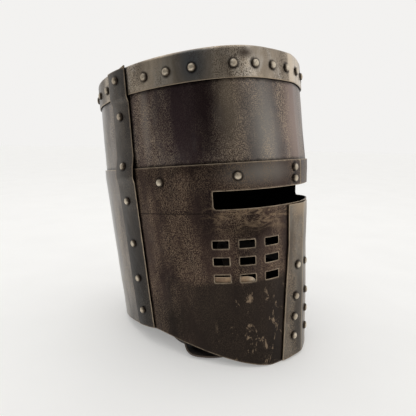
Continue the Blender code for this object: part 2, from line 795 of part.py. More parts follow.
def strap_right(swing, hinge, reach):
    """The buckle's half: it folds back on itself round the bar, with a notch there for the prong."""
    y = hinge.y - STRAP_REACH
    edge = (0, -STRAP_WIDTH / 2, 0)
    wrap = FRAME_ROD * 0.6 + GAP + LEATHER / 2
    fold_z = STRAP_FLOOR + LEATHER + 2 * GAP
    stops = strap_run(-1, hinge, reach)
    stops += [((KEEPER_X + 0.006, y, STRAP_FLOOR), edge), ((BAR_X - 0.010, y, STRAP_FLOOR - 0.0004), edge)]
    stops += [((BAR_X - 0.004, y, BAR_Z - wrap + 0.0003), edge)]
    for turn in (-70, -35, 0, 35, 70):
        angle = math.radians(turn)
        stops.append(((BAR_X + wrap * math.cos(angle), y, BAR_Z + wrap * math.sin(angle)), edge))
    stops += [((BAR_X - 0.004, y, BAR_Z + wrap - 0.0004), edge)]
    stops += [((BAR_X - 0.009, y, fold_z + 0.0003), edge), ((BAR_X - 0.013, y, fold_z), edge)]
    strap = hang("chin_strap_right", ribbon("chin_strap_right", stops, 2, LEATHER), swing, STRAP)
    cut_rivet_hole(strap, -1, hinge, reach)
    cut_box(strap, "prong_notch", (BAR_X - 0.0060, y - 0.0024, -0.002), (BAR_X + 0.010, y + 0.0024, 0.014))
    return strap


def strap_left(swing, hinge, reach):
    """The long half: under the frame's front rod, over its bar and on through the keeper."""
    y = hinge.y - STRAP_REACH
    edge = (0, -STRAP_WIDTH / 2 + 0.0004, 0)
    front_x = BAR_X + FRAME_LENGTH
    under = LEATHER / 2 + GAP
    over = BAR_Z + FRAME_ROD * 0.6 + 1.5 * LEATHER + 4 * GAP
    on_top = STRAP_FLOOR + 2 * LEATHER + 4 * GAP
    stops = strap_run(1, hinge, reach)
    stops += [
        ((front_x + 0.009, y, under + 0.0004), edge),
        ((front_x + 0.003, y, under), edge),
        ((front_x - 0.002, y, under), edge),
        ((front_x - 0.005, y, under + 0.0012), edge),
        ((front_x - 0.011, y, over * 0.55), edge),
        ((BAR_X + 0.007, y, over - 0.0022), edge),
        ((BAR_X + 0.002, y, over - 0.0002), edge),
        ((BAR_X - 0.005, y, over), edge),
        ((BAR_X - 0.013, y, on_top + 0.0008), edge),
        ((BAR_X - 0.018, y, on_top - LEATHER + 0.0010), edge),
        ((KEEPER_X + 0.003, y, on_top - LEATHER), edge),
        ((KEEPER_X, y, on_top - LEATHER), edge),
        ((STRAP_TIP_X + 0.004, y, on_top - LEATHER), edge),
        ((STRAP_TIP_X, y, on_top - LEATHER), (0, -STRAP_WIDTH / 4, 0)),
    ]
    strap = hang("chin_strap_left", ribbon("chin_strap_left", stops, 2, LEATHER), swing, STRAP)
    cut_rivet_hole(strap, 1, hinge, reach)
    cut_box(strap, "prong_slot", (BAR_X, y - 0.0020, 0.001), (BAR_X + 0.0175, y + 0.0020, 0.020))
    return strap


def buckle_frame(swing, hinge):
    """A flat rectangular frame, its bar at BAR_X."""
    half = FRAME_ROD / 2
    back, front = BAR_X, BAR_X + FRAME_LENGTH
    y = hinge.y - STRAP_REACH
    wide = FRAME_WIDTH / 2
    low_corner = (back - half, y - wide, BAR_Z - half)
    mesh = box_block("buckle_frame", low_corner, (front + half, y + wide, BAR_Z + half))
    frame = hang("buckle_frame", mesh, swing, BRASS)
    inside = wide - FRAME_ROD
    cut_box(frame, "frame_window", (back + half, y - inside, 0), (front - half, y + inside, 0.02))
    return frame


def buckle_prong(swing, hinge):
    """A rod bent round the bar, where it turns, and resting on the front rod."""
    pivot = bpy.data.objects.new("prong_pivot", None)
    bpy.context.scene.collection.objects.link(pivot)
    pivot.parent = swing
    pivot.location = Vector((BAR_X, hinge.y - STRAP_REACH, BAR_Z)) - hinge
    rest_z = FRAME_ROD / 2 + GAP + PRONG_RADIUS
    edge = (0, -PRONG_RADIUS, 0)
    stops = []
    for turn in (200, 160, 120, 85):
        angle = math.radians(turn)
        stops.append(((PRONG_LOOP * math.cos(angle), 0, PRONG_LOOP * math.sin(angle)), edge))
    stops += [((0.007, 0, rest_z + 0.0001), edge), ((FRAME_LENGTH + 0.0014, 0, rest_z), edge)]
    return add_object("buckle_prong", ribbon("buckle_prong", stops, 2, 2 * PRONG_RADIUS), pivot, BRASS)


def strap_keeper(swing, hinge):
    """A leather loop round the two layers of strap."""
    half = STRAP_WIDTH / 2 + 2 * GAP
    y = hinge.y - STRAP_REACH
    low = STRAP_FLOOR - LEATHER / 2 - GAP
    high = STRAP_FLOOR + 1.5 * LEATHER + 5 * GAP
    wall = KEEPER_THICKNESS
    back, front = KEEPER_X - KEEPER_WIDTH / 2, KEEPER_X + KEEPER_WIDTH / 2
    low_corner = (back, y - half - wall, low - wall)
    mesh = box_block("strap_keeper", low_corner, (front, y + half + wall, high + wall))
    keeper = hang("strap_keeper", mesh, swing, STRAP)
    cut_box(keeper, "keeper_window", (back - 0.002, y - half, low), (front + 0.002, y + half, high))
    return keeper


def chin_strap(lean):
    """The strap, its buckle and its keeper, all hanging from the line through the two rivets."""
    bpy.context.view_layer.update()
    anchor = lean.matrix_world @ shell_point(STRIP_CENTRE, STRAP_RIVET_Z, -STRAP_IN)
    hinge = Vector((0, anchor.y, anchor.z))
    swing = bpy.data.objects.new("strap_hinge", None)
    bpy.context.scene.collection.objects.link(swing)
    swing.location = hinge
    strap_right(swing, hinge, anchor.x)
    strap_left(swing, hinge, anchor.x)
    buckle_frame(swing, hinge)
    buckle_prong(swing, hinge)
    strap_keeper(swing, hinge)


def stand(lean):
    """Stands the plates on their rim, with the middle of their box over the origin."""
    bpy.context.view_layer.update()
    graph = bpy.context.evaluated_depsgraph_get()
    corners = []
    for obj in lean.children:
        if not obj.hide_render:
            corners += [obj.matrix_world @ v.co for v in obj.evaluated_get(graph).data.vertices]
    lows = [min(p[k] for p in corners) for k in range(3)]
    highs = [max(p[k] for p in corners) for k in range(3)]
    lean.location = (-(lows[0] + highs[0]) / 2, -(lows[1] + highs[1]) / 2, -lows[2])


def build():
    clear_scene()
    lean = bpy.data.objects.new("lean", None)
    bpy.context.scene.collection.objects.link(lean)
    lean.rotation_euler.x = -LEAN
    shafts = []
    plates = [*skull_plates(lean), nape_plate(lean), top_plate(lean)]
    plates += [face_plate("face_plate_right", -1, lean), face_plate("face_plate_left", 1, lean)]
    band = top_band(lean)
    plates += [band, side_strip("side_strip_right", -1, lean), side_strip("side_strip_left", 1, lean)]
    plates += [nasal_plate(lean), head_band(lean)]
    plate_rivets(lean, shafts)
    drill(plates, shafts, lean)
    band_rivet_heads(band, lean)
    liner_tongues(lean)
    crown_disc(lean)
    cheek_strips(lean)
    stand(lean)
    chin_strap(lean)


build()
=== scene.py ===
import math
import random

import bmesh
import bpy
import numpy as np
from mathutils import Matrix, Vector, noise


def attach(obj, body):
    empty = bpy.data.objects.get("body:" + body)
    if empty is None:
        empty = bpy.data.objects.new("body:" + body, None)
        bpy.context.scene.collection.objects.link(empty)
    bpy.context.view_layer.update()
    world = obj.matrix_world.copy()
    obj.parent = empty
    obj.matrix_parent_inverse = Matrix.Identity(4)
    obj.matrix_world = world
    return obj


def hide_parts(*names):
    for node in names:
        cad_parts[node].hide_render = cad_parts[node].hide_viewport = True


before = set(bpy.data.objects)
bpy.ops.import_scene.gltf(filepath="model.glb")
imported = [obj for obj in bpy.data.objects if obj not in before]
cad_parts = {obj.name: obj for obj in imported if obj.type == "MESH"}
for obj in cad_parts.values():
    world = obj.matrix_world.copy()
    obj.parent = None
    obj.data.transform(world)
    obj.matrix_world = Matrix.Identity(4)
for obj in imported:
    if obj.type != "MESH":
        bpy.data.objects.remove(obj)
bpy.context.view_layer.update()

# The shell, as in the CAD: an upright frame, and distances round it from the front along the brow.
STEEL = 0.0016
GAP = 0.0003
LEATHER = 0.0024
LEAN = math.radians(5.6)
LEAN_AT = Vector((0, -0.005971, 0.202349))
LEVELS = (
    (0.107, 0.0998, 0.1114, 0.1382),
    (0.000, 0.0976, 0.1177, 0.1407),
    (-0.010, 0.0976, 0.1177, 0.1407),
    (-0.214, 0.0832, 0.1075, 0.1282),
)
NOSE_PROUD = 0.0043
NOSE_REACH = 0.035
TOP_Z = 0.1053
TOP_SLOPE = 0.028
SLOPE_START_Z = 0.03
BAND_LOW_Z = 0.0765
BROW_Z = 0.0
BROW_FOLD_Z = -0.010
SKULL_LOW_Z = -0.0245
SLOT = (-0.107, 0.087, -0.0445, -0.0268)
SLOT_CORNER = 0.0034
SLOT_TOP_CORNER = 0.4  # the upper corners are this much tighter
BREATH_HEIGHT = 0.0078
BREATH_ROUND = 0.0009
BREATH_TOPS_Z = (-0.0758, -0.0932, -0.1110)
BREATH_COLUMNS = ((0.0390, 0.0565), (0.0677, 0.0838), (0.0942, 0.1108))
RIM_SIDE_Z = -0.1815
RIM_SIDE_Y = 0.018
RIM_CHIN_Z = -0.2136
RIM_CHIN_Y = -0.102
RIM_NAPE_SLOPE = 0.075
STRIP_CENTRE = 0.2150
STRIP_WIDTH = 0.033
STRIP_STEP = 0.006
STRIP_RISE_Z = 0.013
STRIP_FOLD_PROUD = 0.0014
NASAL_TOP_Z = -0.0458
NASAL_HALF_TOP = 0.0243
NASAL_HALF_LOW = 0.0358
NASAL_FLARE_Z = -0.087
NASAL_CREASE = 0.0022
RIVET_RADIUS = 0.0043
RIVET_HEIGHT = 0.0030
RIVET_SUNK = 0.0002
SHANK_RADIUS = 0.0019
TAIL_RADIUS = 0.0030
TAIL_HEIGHT = 0.0012
BAND_RIVET_Z = 0.0890
# Runs of rivets on the top band: side, distance round to the first, spacing and count.
BAND_RIVET_RUNS = (
    (-1, 0.0125, 0.0215, 4),
    (-1, 0.1165, 0.0277, 3),
    (-1, 0.2405, 0.0280, 5),
    (1, 0.0100, 0.0272, 7),
    (1, 0.2405, 0.0280, 5),
)
REAR_RIVET_STEP = 0.042
STRIP_RIVETS_Z = (0.0940, 0.0562, 0.0030, -0.0351, -0.0830, -0.1237, -0.1618)
NASAL_RIVETS = ((0.0098, -0.1115), (0.0130, -0.1455), (0.0157, -0.1680), (0.0168, -0.1893))
FACE_OUT = GAP + STEEL
STRIP_OUT = 2 * GAP + STEEL
SHOULDER_HEIGHT = 0.0035
SHOULDER_TURN = 0.0022
CROWN_Z = TOP_Z - 0.0010
SKULL_TOP_Z = TOP_Z - STEEL - 2 * GAP - 0.0012
FLANGE_LOW_Z = BAND_LOW_Z + 0.004
STRIP_TRIM = 0.0008  # how far a side strip stays from the edges above and below it
NASAL_LOW_Z = RIM_CHIN_Z + 0.0006
NASAL_RIVET_LENGTH = 0.0053
TAIL_PROUD = 0.0008
HANGER = STRIP_RIVETS_Z[5]  # this rivet also holds the chin strap
HANGER_IN = 0.0061
FAR = 0.05  # in a piece's marks for worn edges and painted shade: too far off to leave a mark

LOOK = "_look"  # ends the name of each piece drawn over the CAD node of the same name
GRID = 0.0030  # spacing of the plates' points
STANDING = Matrix.Identity(4)
UPRIGHT = Matrix.Translation(LEAN_AT) @ Matrix.Rotation(-LEAN, 4, "X")


def section(z):
    heights = [level[0] for level in reversed(LEVELS)]
    return [np.interp(z, heights, [level[k] for level in reversed(LEVELS)]) for k in (1, 2, 3)]


def outline(turn, z):
    """Points of the right-hand outline as x and y, for arrays of turns and heights."""
    width, front, rear = section(z)
    sine, cosine = np.sin(turn), np.cos(turn)
    x = width * np.where(turn < math.pi / 2, np.abs(sine) ** (2 / 3), sine)
    ridge = NOSE_PROUD * np.clip(1 - np.sqrt((x / NOSE_REACH) ** 2 + 0.004), 0, None)
    y = np.where(turn < math.pi / 2, -front * cosine - ridge, -rear * cosine)
    return x, y


def measure_round():
    turns = math.pi * np.linspace(0, 1, 4000) ** 1.5
    x, y = outline(turns, np.zeros_like(turns))
    return turns, np.concatenate([[0], np.cumsum(np.hypot(np.diff(x), np.diff(y)))])


TURNS, ROUND = measure_round()
HALF_ROUND = float(ROUND[-1])


def shell(along, z, out):
    """Upright points (n, 3) at distances round, heights and distances out from the skull's outer face."""
    along, z, out = np.broadcast_arrays(*[np.asarray(v, float) for v in (along, z, out)])
    turn = np.interp(np.abs(along), ROUND, TURNS)
    x, y = outline(turn, z)
    before = outline(np.clip(turn - 0.004, 0, None), z)
    after = outline(np.clip(turn + 0.004, None, math.pi), z)
    ahead_x, ahead_y = after[0] - before[0], after[1] - before[1]
    size = np.hypot(ahead_x, ahead_y)
    normal_x, normal_y = ahead_y / size, -ahead_x / size
    ends = (turn < 1e-9) | (turn > math.pi - 1e-9)
    normal_x = np.where(ends, 0, normal_x)
    normal_y = np.where(ends, np.where(turn < 1, -1, 1), normal_y)
    side = np.where(along < 0, -1, 1)
    y = y + normal_y * out
    slope = TOP_SLOPE * np.clip((z - SLOPE_START_Z) / (TOP_Z - SLOPE_START_Z), 0, 1)
    return np.stack([side * (x + normal_x * out), y, z - slope * y], -1)


def rim_z(along):
    y = shell(along, RIM_SIDE_Z, 0)[..., 1]
    share = np.clip((RIM_SIDE_Y - y) / (RIM_SIDE_Y - RIM_CHIN_Y), 0, 1)
    front = RIM_SIDE_Z + (RIM_CHIN_Z - RIM_SIDE_Z) * share**1.3
    return np.where(y > RIM_SIDE_Y, RIM_SIDE_Z - RIM_NAPE_SLOPE * (y - RIM_SIDE_Y), front)


def wander(points, size, seed):
    """Smooth noise from -1 to 1 at points (n, 3), with features about size across."""
    shift = Vector((seed * 7.3, seed * 3.1, seed * 5.7))
    return np.array([noise.noise(Vector(p) / size + shift) for p in points])


def dents(points):
    """How far the hammered steel stands out or in: the same for every layer, so that they stay apart."""
    return 0.00050 * wander(points, 0.050, 1) + 0.00016 * wander(points, 0.016, 2)


# Meshes.


def spread_over(stops, step=GRID):
    """Every stop, with evenly spaced values between one and the next."""
    found = []
    for first, second in zip(stops, stops[1:]):
        count = max(1, round(abs(second - first) / step))
        found += [first + (second - first) * k / count for k in range(count)]
    return found + [stops[-1]]


def spread(start, end, also=(), step=GRID):
    return spread_over(sorted({start, end, *[a for a in also if start < a < end]}), step)


def rect_distance(along, z, rect):
    """How far points lie outside a box (low, high, bottom, top)."""
    low, high, bottom, top = rect
    beside = np.clip(np.maximum(low - along, along - high), 0, None)
    above = np.clip(np.maximum(bottom - z, z - top), 0, None)
    return np.hypot(beside, above)


def rounded(along, z, rect, low_radius, top_radius):
    """Moves the points on a box's corners onto arcs."""
    low, high, bottom, top = rect
    for corner_s, way_s in ((low, 1), (high, -1)):
        for corner_z, way_z, radius in ((bottom, 1, low_radius), (top, -1, top_radius)):
            ds, dz = (along - corner_s) * way_s, (z - corner_z) * way_z
            for flat, other in ((ds, dz), (dz, ds)):
                on = (np.abs(other) < 1e-7) & (flat > -1e-7) & (flat < radius)
                turn = math.pi / 4 * (1 - flat / radius)
                first, second = radius - radius * np.sin(turn), radius - radius * np.cos(turn)
                ds_new = np.where(on, first if flat is ds else second, ds)
                dz_new = np.where(on, second if flat is ds else first, dz)
                along = np.where(on, corner_s + way_s * ds_new, along)
                z = np.where(on, corner_z + way_z * dz_new, z)
    return along, z


def add_object(name, data):
    obj = bpy.data.objects.new(name, data)
    bpy.context.scene.collection.objects.link(obj)
    return obj


def face_outwards(mesh):
    work = bmesh.new()
    work.from_mesh(mesh)
    bmesh.ops.recalc_face_normals(work, faces=work.faces)
    work.to_mesh(mesh)
    work.free()


def write_marks(mesh, spot, place, wear):
    for name, values in (("spot", spot), ("place", place), ("wear", wear)):
        made = mesh.attributes.new(name, "FLOAT_VECTOR", "POINT")
        made.data.foreach_set("vector", np.asarray(values, np.float32).ravel())


def new_piece(name, points, faces, material, marks=None, bevel=0.0, sharp=35, frame_of=UPRIGHT):
    """An object from points of a frame. marks are the place of each point and its distances for worn edges
    and painted shade.
    """
    mesh = bpy.data.meshes.new(name)
    world = np.asarray(points) @ np.array(frame_of.to_3x3()).T + np.array(frame_of.translation)
    mesh.from_pydata(world.tolist(), [], faces)
    place, wear = marks if marks else (np.zeros_like(world), np.full_like(world, 1.0))
    write_marks(mesh, points, place, wear)
    face_outwards(mesh)
    mesh.shade_smooth()
    mesh.set_sharp_from_angle(angle=math.radians(sharp))
    mesh.materials.append(material)
    obj = add_object(name + LOOK, mesh)
    if bevel:
        soften = obj.modifiers.new("worn edges", "BEVEL")
        soften.width = bevel
        soften.segments = 2
        soften.limit_method = "ANGLE"
        soften.angle_limit = math.radians(50)
        soften.harden_normals = True
    return obj


def wall(first, second, count):
    """Faces between two rings of points, numbered from first and from second."""
    return [[first + k, first + (k + 1) % count, second + (k + 1) % count, second + k] for k in range(count)]


def squares(rows, columns, start=0, ring=False, turned=False):
    """Faces between rows of points, numbered from start. In a ring each row closes on itself."""
    found = []
    for j in range(rows - 1):
        low = start + j * columns
        found += wall(low, low + columns, columns)[: None if ring else -1]
    return [face[::-1] for face in found] if turned else found


def slab(rows, columns):
    """The faces of a plate between two grids of points, and the numbers of the points round its border."""
    size = rows * columns
    border = list(range(columns)) + [j * columns + columns - 1 for j in range(1, rows)]
    border += [size - 2 - i for i in range(columns - 1)] + [j * columns for j in range(rows - 2, 0, -1)]
    faces = squares(rows, columns) + squares(rows, columns, size, turned=True)
    faces += [[a, b, size + b, size + a] for a, b in zip(border, border[1:] + border[:1])]
    return faces, border


def sheet(
    name, columns, rows, inner, outer, material, holes=(), corners=0.0, ring=False, marks=None, bevel=0.00045
):
    """A bent plate. rows is a function of an array of columns that gives heights (columns, rows). inner and
    outer give distances out, marks the distances for worn edges and painted shade, all from arrays of
    distances round and heights."""
    columns = np.asarray(columns)
    heights = rows(columns)
    count, deep = heights.shape
    along = np.repeat(columns[:, None], deep, 1)
    wrap = count if ring else count - 1
    kept = np.ones((wrap, deep - 1), bool)
    after = np.roll(along, -1, 0)[:wrap] if ring else along[1:]
    middle_s = (along[:wrap, :-1] + after[:, :-1]) / 2
    middle_z = (heights[:wrap, :-1] + heights[:wrap, 1:]) / 2
    for low, high, bottom, top in holes:
        kept &= ~((middle_s > low) & (middle_s < high) & (middle_z > bottom) & (middle_z < top))
    flat_s, flat_z = along.ravel(), heights.ravel()
    for rect in holes:
        if corners and rect[3] - rect[2] > 4 * corners:
            flat_s, flat_z = rounded(flat_s, flat_z, rect, corners, corners * SLOT_TOP_CORNER)
        else:
            flat_s, flat_z = rounded(flat_s, flat_z, rect, 0.0004, 0.0004)
    bare = shell(flat_s, flat_z, 0)
    swell = dents(bare)
    faces_out = [shell(flat_s, flat_z, f(flat_s, flat_z) + swell) for f in (outer, inner)]
    # the third part is 1 on the inner face, where the steel gets painted shade
    places = [np.stack([flat_s, flat_z, np.full_like(flat_s, inside)], -1) for inside in (0, 1)]
    wear = marks(flat_s, flat_z)
    size = count * deep

    def corner(i, j, face):
        return ((i % count) * deep + j) + face * size

    faces = []
    for i, j in zip(*np.nonzero(kept)):
        square = ((i, j), (i, j + 1), (i + 1, j + 1), (i + 1, j))
        faces.append([corner(a, b, 0) for a, b in square])
        faces.append([corner(a, b, 1) for a, b in reversed(square)])
        beside = ((i - 1, j), (i, j + 1), (i + 1, j), (i, j - 1))
        for k, (a, b) in enumerate(beside):
            a = a % count if ring else a
            if 0 <= a < wrap and 0 <= b < deep - 1 and kept[a, b]:
                continue
            first, second = square[k], square[(k + 1) % 4]
            faces.append([corner(*first, 1), corner(*second, 1), corner(*second, 0), corner(*first, 0)])
    used = sorted({v for face in faces for v in face})
    place_of = {v: k for k, v in enumerate(used)}
    points = np.concatenate(faces_out)[used]
    marked = (np.concatenate(places)[used], np.concatenate([wear, wear])[used])
    faces = [[place_of[v] for v in face] for face in faces]
    return new_piece(name, points, faces, material, marked, bevel)


def fixed_rows(stops):
    return lambda columns: np.repeat(np.array(stops)[None, :], len(columns), 0)


def flat_rows(*heights):
    return fixed_rows(spread_over(heights))


def rows_down_to(low, upper, count):
    """Rows at the upper heights, then count more that spread out to each column's own low."""
    shares = np.linspace(0, 1, count + 1)[1:]
    lower = upper[-1] + (low[:, None] - upper[-1]) * shares[None, :]
    return np.concatenate([fixed_rows(upper)(low), lower], 1)


def out_by(distance):
    return lambda along, z: np.full_like(z, distance)


# Materials. "spot" is a point of the upright helmet, "place" its distance round and height, and the third
# attribute holds the distances to the nearest bare edge, to the nearest rivet and to the nearest plate that
# lies on top: the first for worn edges, the other two for painted shade.


class Nodes:
    """Builds one material's node tree."""

    def __init__(self, name):
        self.material = bpy.data.materials.new(name)
        self.material.use_nodes = True
        self.tree = self.material.node_tree
        self.shader = self.tree.nodes["Principled BSDF"]

    def put(self, socket, value):
        """Links a socket, or sets a number, a colour of three parts or a vector."""
        if isinstance(value, bpy.types.NodeSocket):
            self.tree.links.new(value, socket)
        else:
            socket.default_value = (*value, 1) if socket.type == "RGBA" else value

    def add(self, kind, inputs, output=0, **settings):
        """A new node with its settings and inputs, and its output by number or name."""
        node = self.tree.nodes.new("ShaderNode" + kind)
        for key, value in settings.items():
            setattr(node, key, value)
        for key, value in inputs.items():
            self.put(node.inputs[key], value)
        return node.outputs[output]

    def finish(self, colour, roughness, normal, metallic=0.0):
        """Joins the ends of the tree to the shader."""
        ends = {"Base Color": colour, "Metallic": metallic, "Roughness": roughness, "Normal": normal}
        for key, value in ends.items():
            self.put(self.shader.inputs[key], value)
        return self.material

    def attribute(self, name, output="Vector"):
        return self.add("Attribute", {}, output, attribute_name=name)

    def parts(self, vector):
        return self.add("SeparateXYZ", {0: vector}).node.outputs

    def math(self, operation, *values):
        return self.add("Math", dict(enumerate(values)), operation=operation)

    def plus(self, first, second):
        return self.math("ADD", first, second)

    def times(self, first, *others):
        for other in others:
            first = self.math("MULTIPLY", first, other)
        return first

    def size(self, value):
        return self.math("ABSOLUTE", value)

    def scaled(self, vector, scale, shift=(0, 0, 0)):
        return self.add("Mapping", {"Vector": vector, "Scale": scale, "Location": shift})

    def noise(self, vector, scale, detail=3.0, roughness=0.55, distortion=0.0):
        look = {"Scale": scale, "Detail": detail, "Roughness": roughness, "Distortion": distortion}
        return self.add("TexNoise", {"Vector": vector, **look}, "Fac")

    def ramp(self, value, low, high, start=0.0, end=1.0):
        """A smooth step from start to end as value goes from low to high."""
        steps = dict(enumerate((value, low, high, start, end)))
        return self.add("MapRange", steps, interpolation_type="SMOOTHSTEP")

    def mix(self, share, first, second):
        return self.add("Mix", {"Factor": share, 6: first, 7: second}, 2, data_type="RGBA")

    def bump(self, height, strength, distance, under=None):
        below = {} if under is None else {"Normal": under}
        return self.add("Bump", {"Height": height, "Strength": strength, "Distance": distance, **below})

    def blob(self, along, z, centre, size):
        """A soft patch, 1 in its middle, at a distance round and a height."""
        ds = self.math("DIVIDE", self.math("SUBTRACT", along, centre[0]), size[0])
        dz = self.math("DIVIDE", self.math("SUBTRACT", z, centre[1]), size[1])
        far = self.math("SQRT", self.plus(self.times(ds, ds), self.times(dz, dz)))
        return self.ramp(far, 1.0, 0.0)


LOWER_DARK = (0.024, 0.019, 0.016)
TAN = (0.38, 0.30, 0.22)
SCUFF = (0.30, 0.22, 0.15)
STREAK = (0.24, 0.17, 0.11)
RUBBED = (0.40, 0.32, 0.23)
# painted shade for the crease under the eye slot and round the foot of each rivet
CREASE_AND_RIVET_SHADE = (0.010, 0.008, 0.007)
# painted shade beside the edges of plates that lie on top
OVERLAP_SHADE = (0.012, 0.009, 0.008)
# painted shade on the plates' inner faces and the walls of their holes
INSIDE_SHADE = (0.006, 0.005, 0.005)


def lower_marks(n, spot, along, z, colour):
    """The lower face: darker low down at the front, scuffs, rubbed streaks under the eye slot, and a faint
    crease beside it drawn as a line of painted shade.
    """
    beside = n.size(along)
    edge = n.plus(z, n.times(n.noise(spot, 40, 3), 0.018))
    darker_low = n.times(n.ramp(edge, -0.103, -0.114), n.ramp(beside, 0.180, 0.120), 0.85)
    colour = n.mix(darker_low, colour, LOWER_DARK)
    scuffs = n.noise(n.scaled(spot, (1, 1, 0.55), (1, 8, 2)), 85, 7, 0.78, 0.7)
    scuffs = n.times(n.ramp(scuffs, 0.575, 0.62), n.ramp(z, -0.115, -0.140))
    colour = n.mix(n.times(scuffs, n.ramp(beside, 0.125, 0.085, 0, 0.75)), colour, SCUFF)
    streaks = n.noise(n.scaled(spot, (1, 1, 2.6), (4, 2, 9)), 55, 6, 0.72, 1.2)
    streaks = n.times(n.ramp(streaks, 0.46, 0.62), n.ramp(z, -0.076, -0.052), n.ramp(z, -0.030, -0.044))
    colour = n.mix(n.times(streaks, n.ramp(beside, 0.125, 0.095, 0, 0.85)), colour, STREAK)
    # painted shade: a dark line along a crease below the eye slot
    crease = n.ramp(n.size(n.plus(z, 0.0482)), 0.0010, 0.0003)
    return n.mix(n.times(crease, n.ramp(beside, 0.106, 0.116, 0, 0.6)), colour, CREASE_AND_RIVET_SHADE)


def worn(n, spot, along, wear, colour, ridge):
    """Painted shade beside the plates on top and round the foot of each rivet, bare edges, and a bare crease
    for a ridge.
    """
    # painted shade along the edges of the plates that lie on top
    cover = n.plus(wear[2], n.times(n.noise(spot, 160, 3), 0.004))
    colour = n.mix(n.ramp(cover, 0.0060, 0.0018, 0.0, 0.85), colour, OVERLAP_SHADE)
    # painted shade in a ring round the foot of each rivet
    round_rivet = n.plus(wear[1], n.times(n.noise(spot, 200, 2), 0.002))
    colour = n.mix(n.ramp(round_rivet, 0.0078, 0.0052, 0.0, 0.85), colour, CREASE_AND_RIVET_SHADE)
    ragged = n.times(n.math("SUBTRACT", n.noise(spot, 170, 4, 0.7), 0.5), 0.0022)
    edge = n.plus(wear[0], ragged)
    rubbed = n.ramp(edge, 0.0008, 0.0001)
    if ridge:
        rubbed = n.math("MAXIMUM", rubbed, n.ramp(n.size(along), 0.0016, 0.0004, 0, ridge))
    colour = n.mix(n.ramp(edge, 0.0020, 0.0004, 0, 0.30), colour, TAN)
    return n.mix(rubbed, colour, RUBBED)


def steel(name, dark, warm, pale, speckle, rough, pale_share=0.5, patches=(), lower=False, ridge=0.0):
    """Blackened steel: a dark ground clouded with warm brown and paler grey, stippled, with bare edges."""
    n = Nodes(name)
    spot, place = n.attribute("spot"), n.parts(n.attribute("place"))
    wear = n.parts(n.attribute("wear"))
    along, z = place[0], place[1]
    tall = n.scaled(spot, (1, 1, 0.32))
    clouds = n.noise(tall, 30, 4, 0.55, 0.4)
    drifts = n.noise(n.scaled(spot, (1, 1, 0.5), (3, 1, 7)), 45, 5, 0.6, 0.3)
    stipple = n.noise(n.scaled(spot, (1, 1, 0.8), (2, 5, 1)), 1250, 2, 0.6)
    grain = n.noise(spot, 1900, 2, 0.6)
    colour = n.mix(n.ramp(clouds, 0.38, 0.62), dark, warm)
    colour = n.mix(n.times(n.ramp(drifts, 0.47, 0.66), pale_share), colour, pale)
    where = n.ramp(n.noise(tall, 36, 3, 0.6), 0.38, 0.62, 0.12, 0.95)
    for centre, size, tint, plain in patches:
        share = n.blob(along, z, centre, size)
        colour = n.mix(share, colour, tint)
        where = n.times(where, n.math("SUBTRACT", 1.0, n.times(share, plain)))
    dots = n.times(n.ramp(stipple, 0.49, 0.57), where)
    colour = n.mix(dots, colour, speckle)
    if lower:
        colour = lower_marks(n, spot, along, z, colour)
    colour = worn(n, spot, along, wear, colour, ridge)
    # painted shade: inner faces and hole walls near black
    colour = n.mix(n.ramp(place[2], 0.10, 0.35), colour, INSIDE_SHADE)
    roughness = n.plus(n.ramp(clouds, 0.3, 0.7, rough + 0.06, rough - 0.06), n.times(dots, 0.10))
    roughness = n.math("MAXIMUM", roughness, n.times(place[2], 0.8))
    broad = n.bump(n.noise(spot, 70, 2), 0.20, 0.002)
    fine = n.bump(n.plus(stipple, n.times(grain, 0.5)), 0.30, 0.0003, broad)
    return n.finish(colour, roughness, fine, 1.0)


def rivet_steel(name):
    n = Nodes(name)
    spot = n.attribute("spot")
    wear = n.parts(n.attribute("wear"))
    tone = n.noise(spot, 90, 2)
    pits = n.noise(spot, 700, 3, 0.6)
    colour = n.mix(n.ramp(tone, 0.35, 0.65), (0.44, 0.37, 0.28), (0.68, 0.60, 0.48))
    colour = n.mix(n.ramp(pits, 0.52, 0.70, 0, 0.6), colour, (0.10, 0.075, 0.055))
    # painted shade: the dome darker towards its foot
    colour = n.mix(n.ramp(wear[1], 0.50, 0.95), colour, (0.05, 0.037, 0.027))
    return n.finish(colour, n.ramp(pits, 0.3, 0.7, 0.34, 0.55), n.bump(pits, 0.3, 0.0005), 0.9)


def leather(name, dark, light, edge, cheek=False):
    """Leather with pale cut edges. The cheek strips get a painted highlight at the front and painted shade
    on their inner side.
    """
    n = Nodes(name)
    spot, place = n.attribute("spot"), n.parts(n.attribute("place"))
    wear = n.parts(n.attribute("wear"))
    tone = n.noise(spot, 60, 4, 0.6)
    grain = n.add("TexVoronoi", {"Vector": spot, "Scale": 900}, "Distance")
    colour = n.mix(n.ramp(tone, 0.35, 0.65), dark, light)
    colour = n.mix(n.ramp(grain, 0.1, 0.7, 0.25, 0.0), colour, dark)
    colour = n.mix(n.ramp(wear[0], 0.0012, 0.0002), colour, edge)
    if cheek:
        # painted highlight: the strip paler towards its front
        colour = n.mix(n.ramp(n.parts(spot)[1], -0.088, -0.104), colour, (0.95, 0.86, 0.70))
        # painted shade on the inner side
        colour = n.mix(n.ramp(place[2], 0.2, 0.6), colour, (0.012, 0.009, 0.007))
    creases = n.bump(n.noise(spot, 160, 5, 0.65), 0.4, 0.001)
    pebbles = n.bump(grain, 0.5, 0.0004, creases)
    return n.finish(colour, n.ramp(tone, 0.3, 0.7, 0.62, 0.80), pebbles)


def brass(name):
    n = Nodes(name)
    spot = n.attribute("spot")
    tone = n.noise(spot, 140, 4, 0.6)
    colour = n.mix(n.ramp(tone, 0.4, 0.62), (0.50, 0.36, 0.16), (0.20, 0.13, 0.06))
    return n.finish(colour, n.ramp(tone, 0.3, 0.7, 0.28, 0.55), n.bump(tone, 0.2, 0.0005), 1.0)
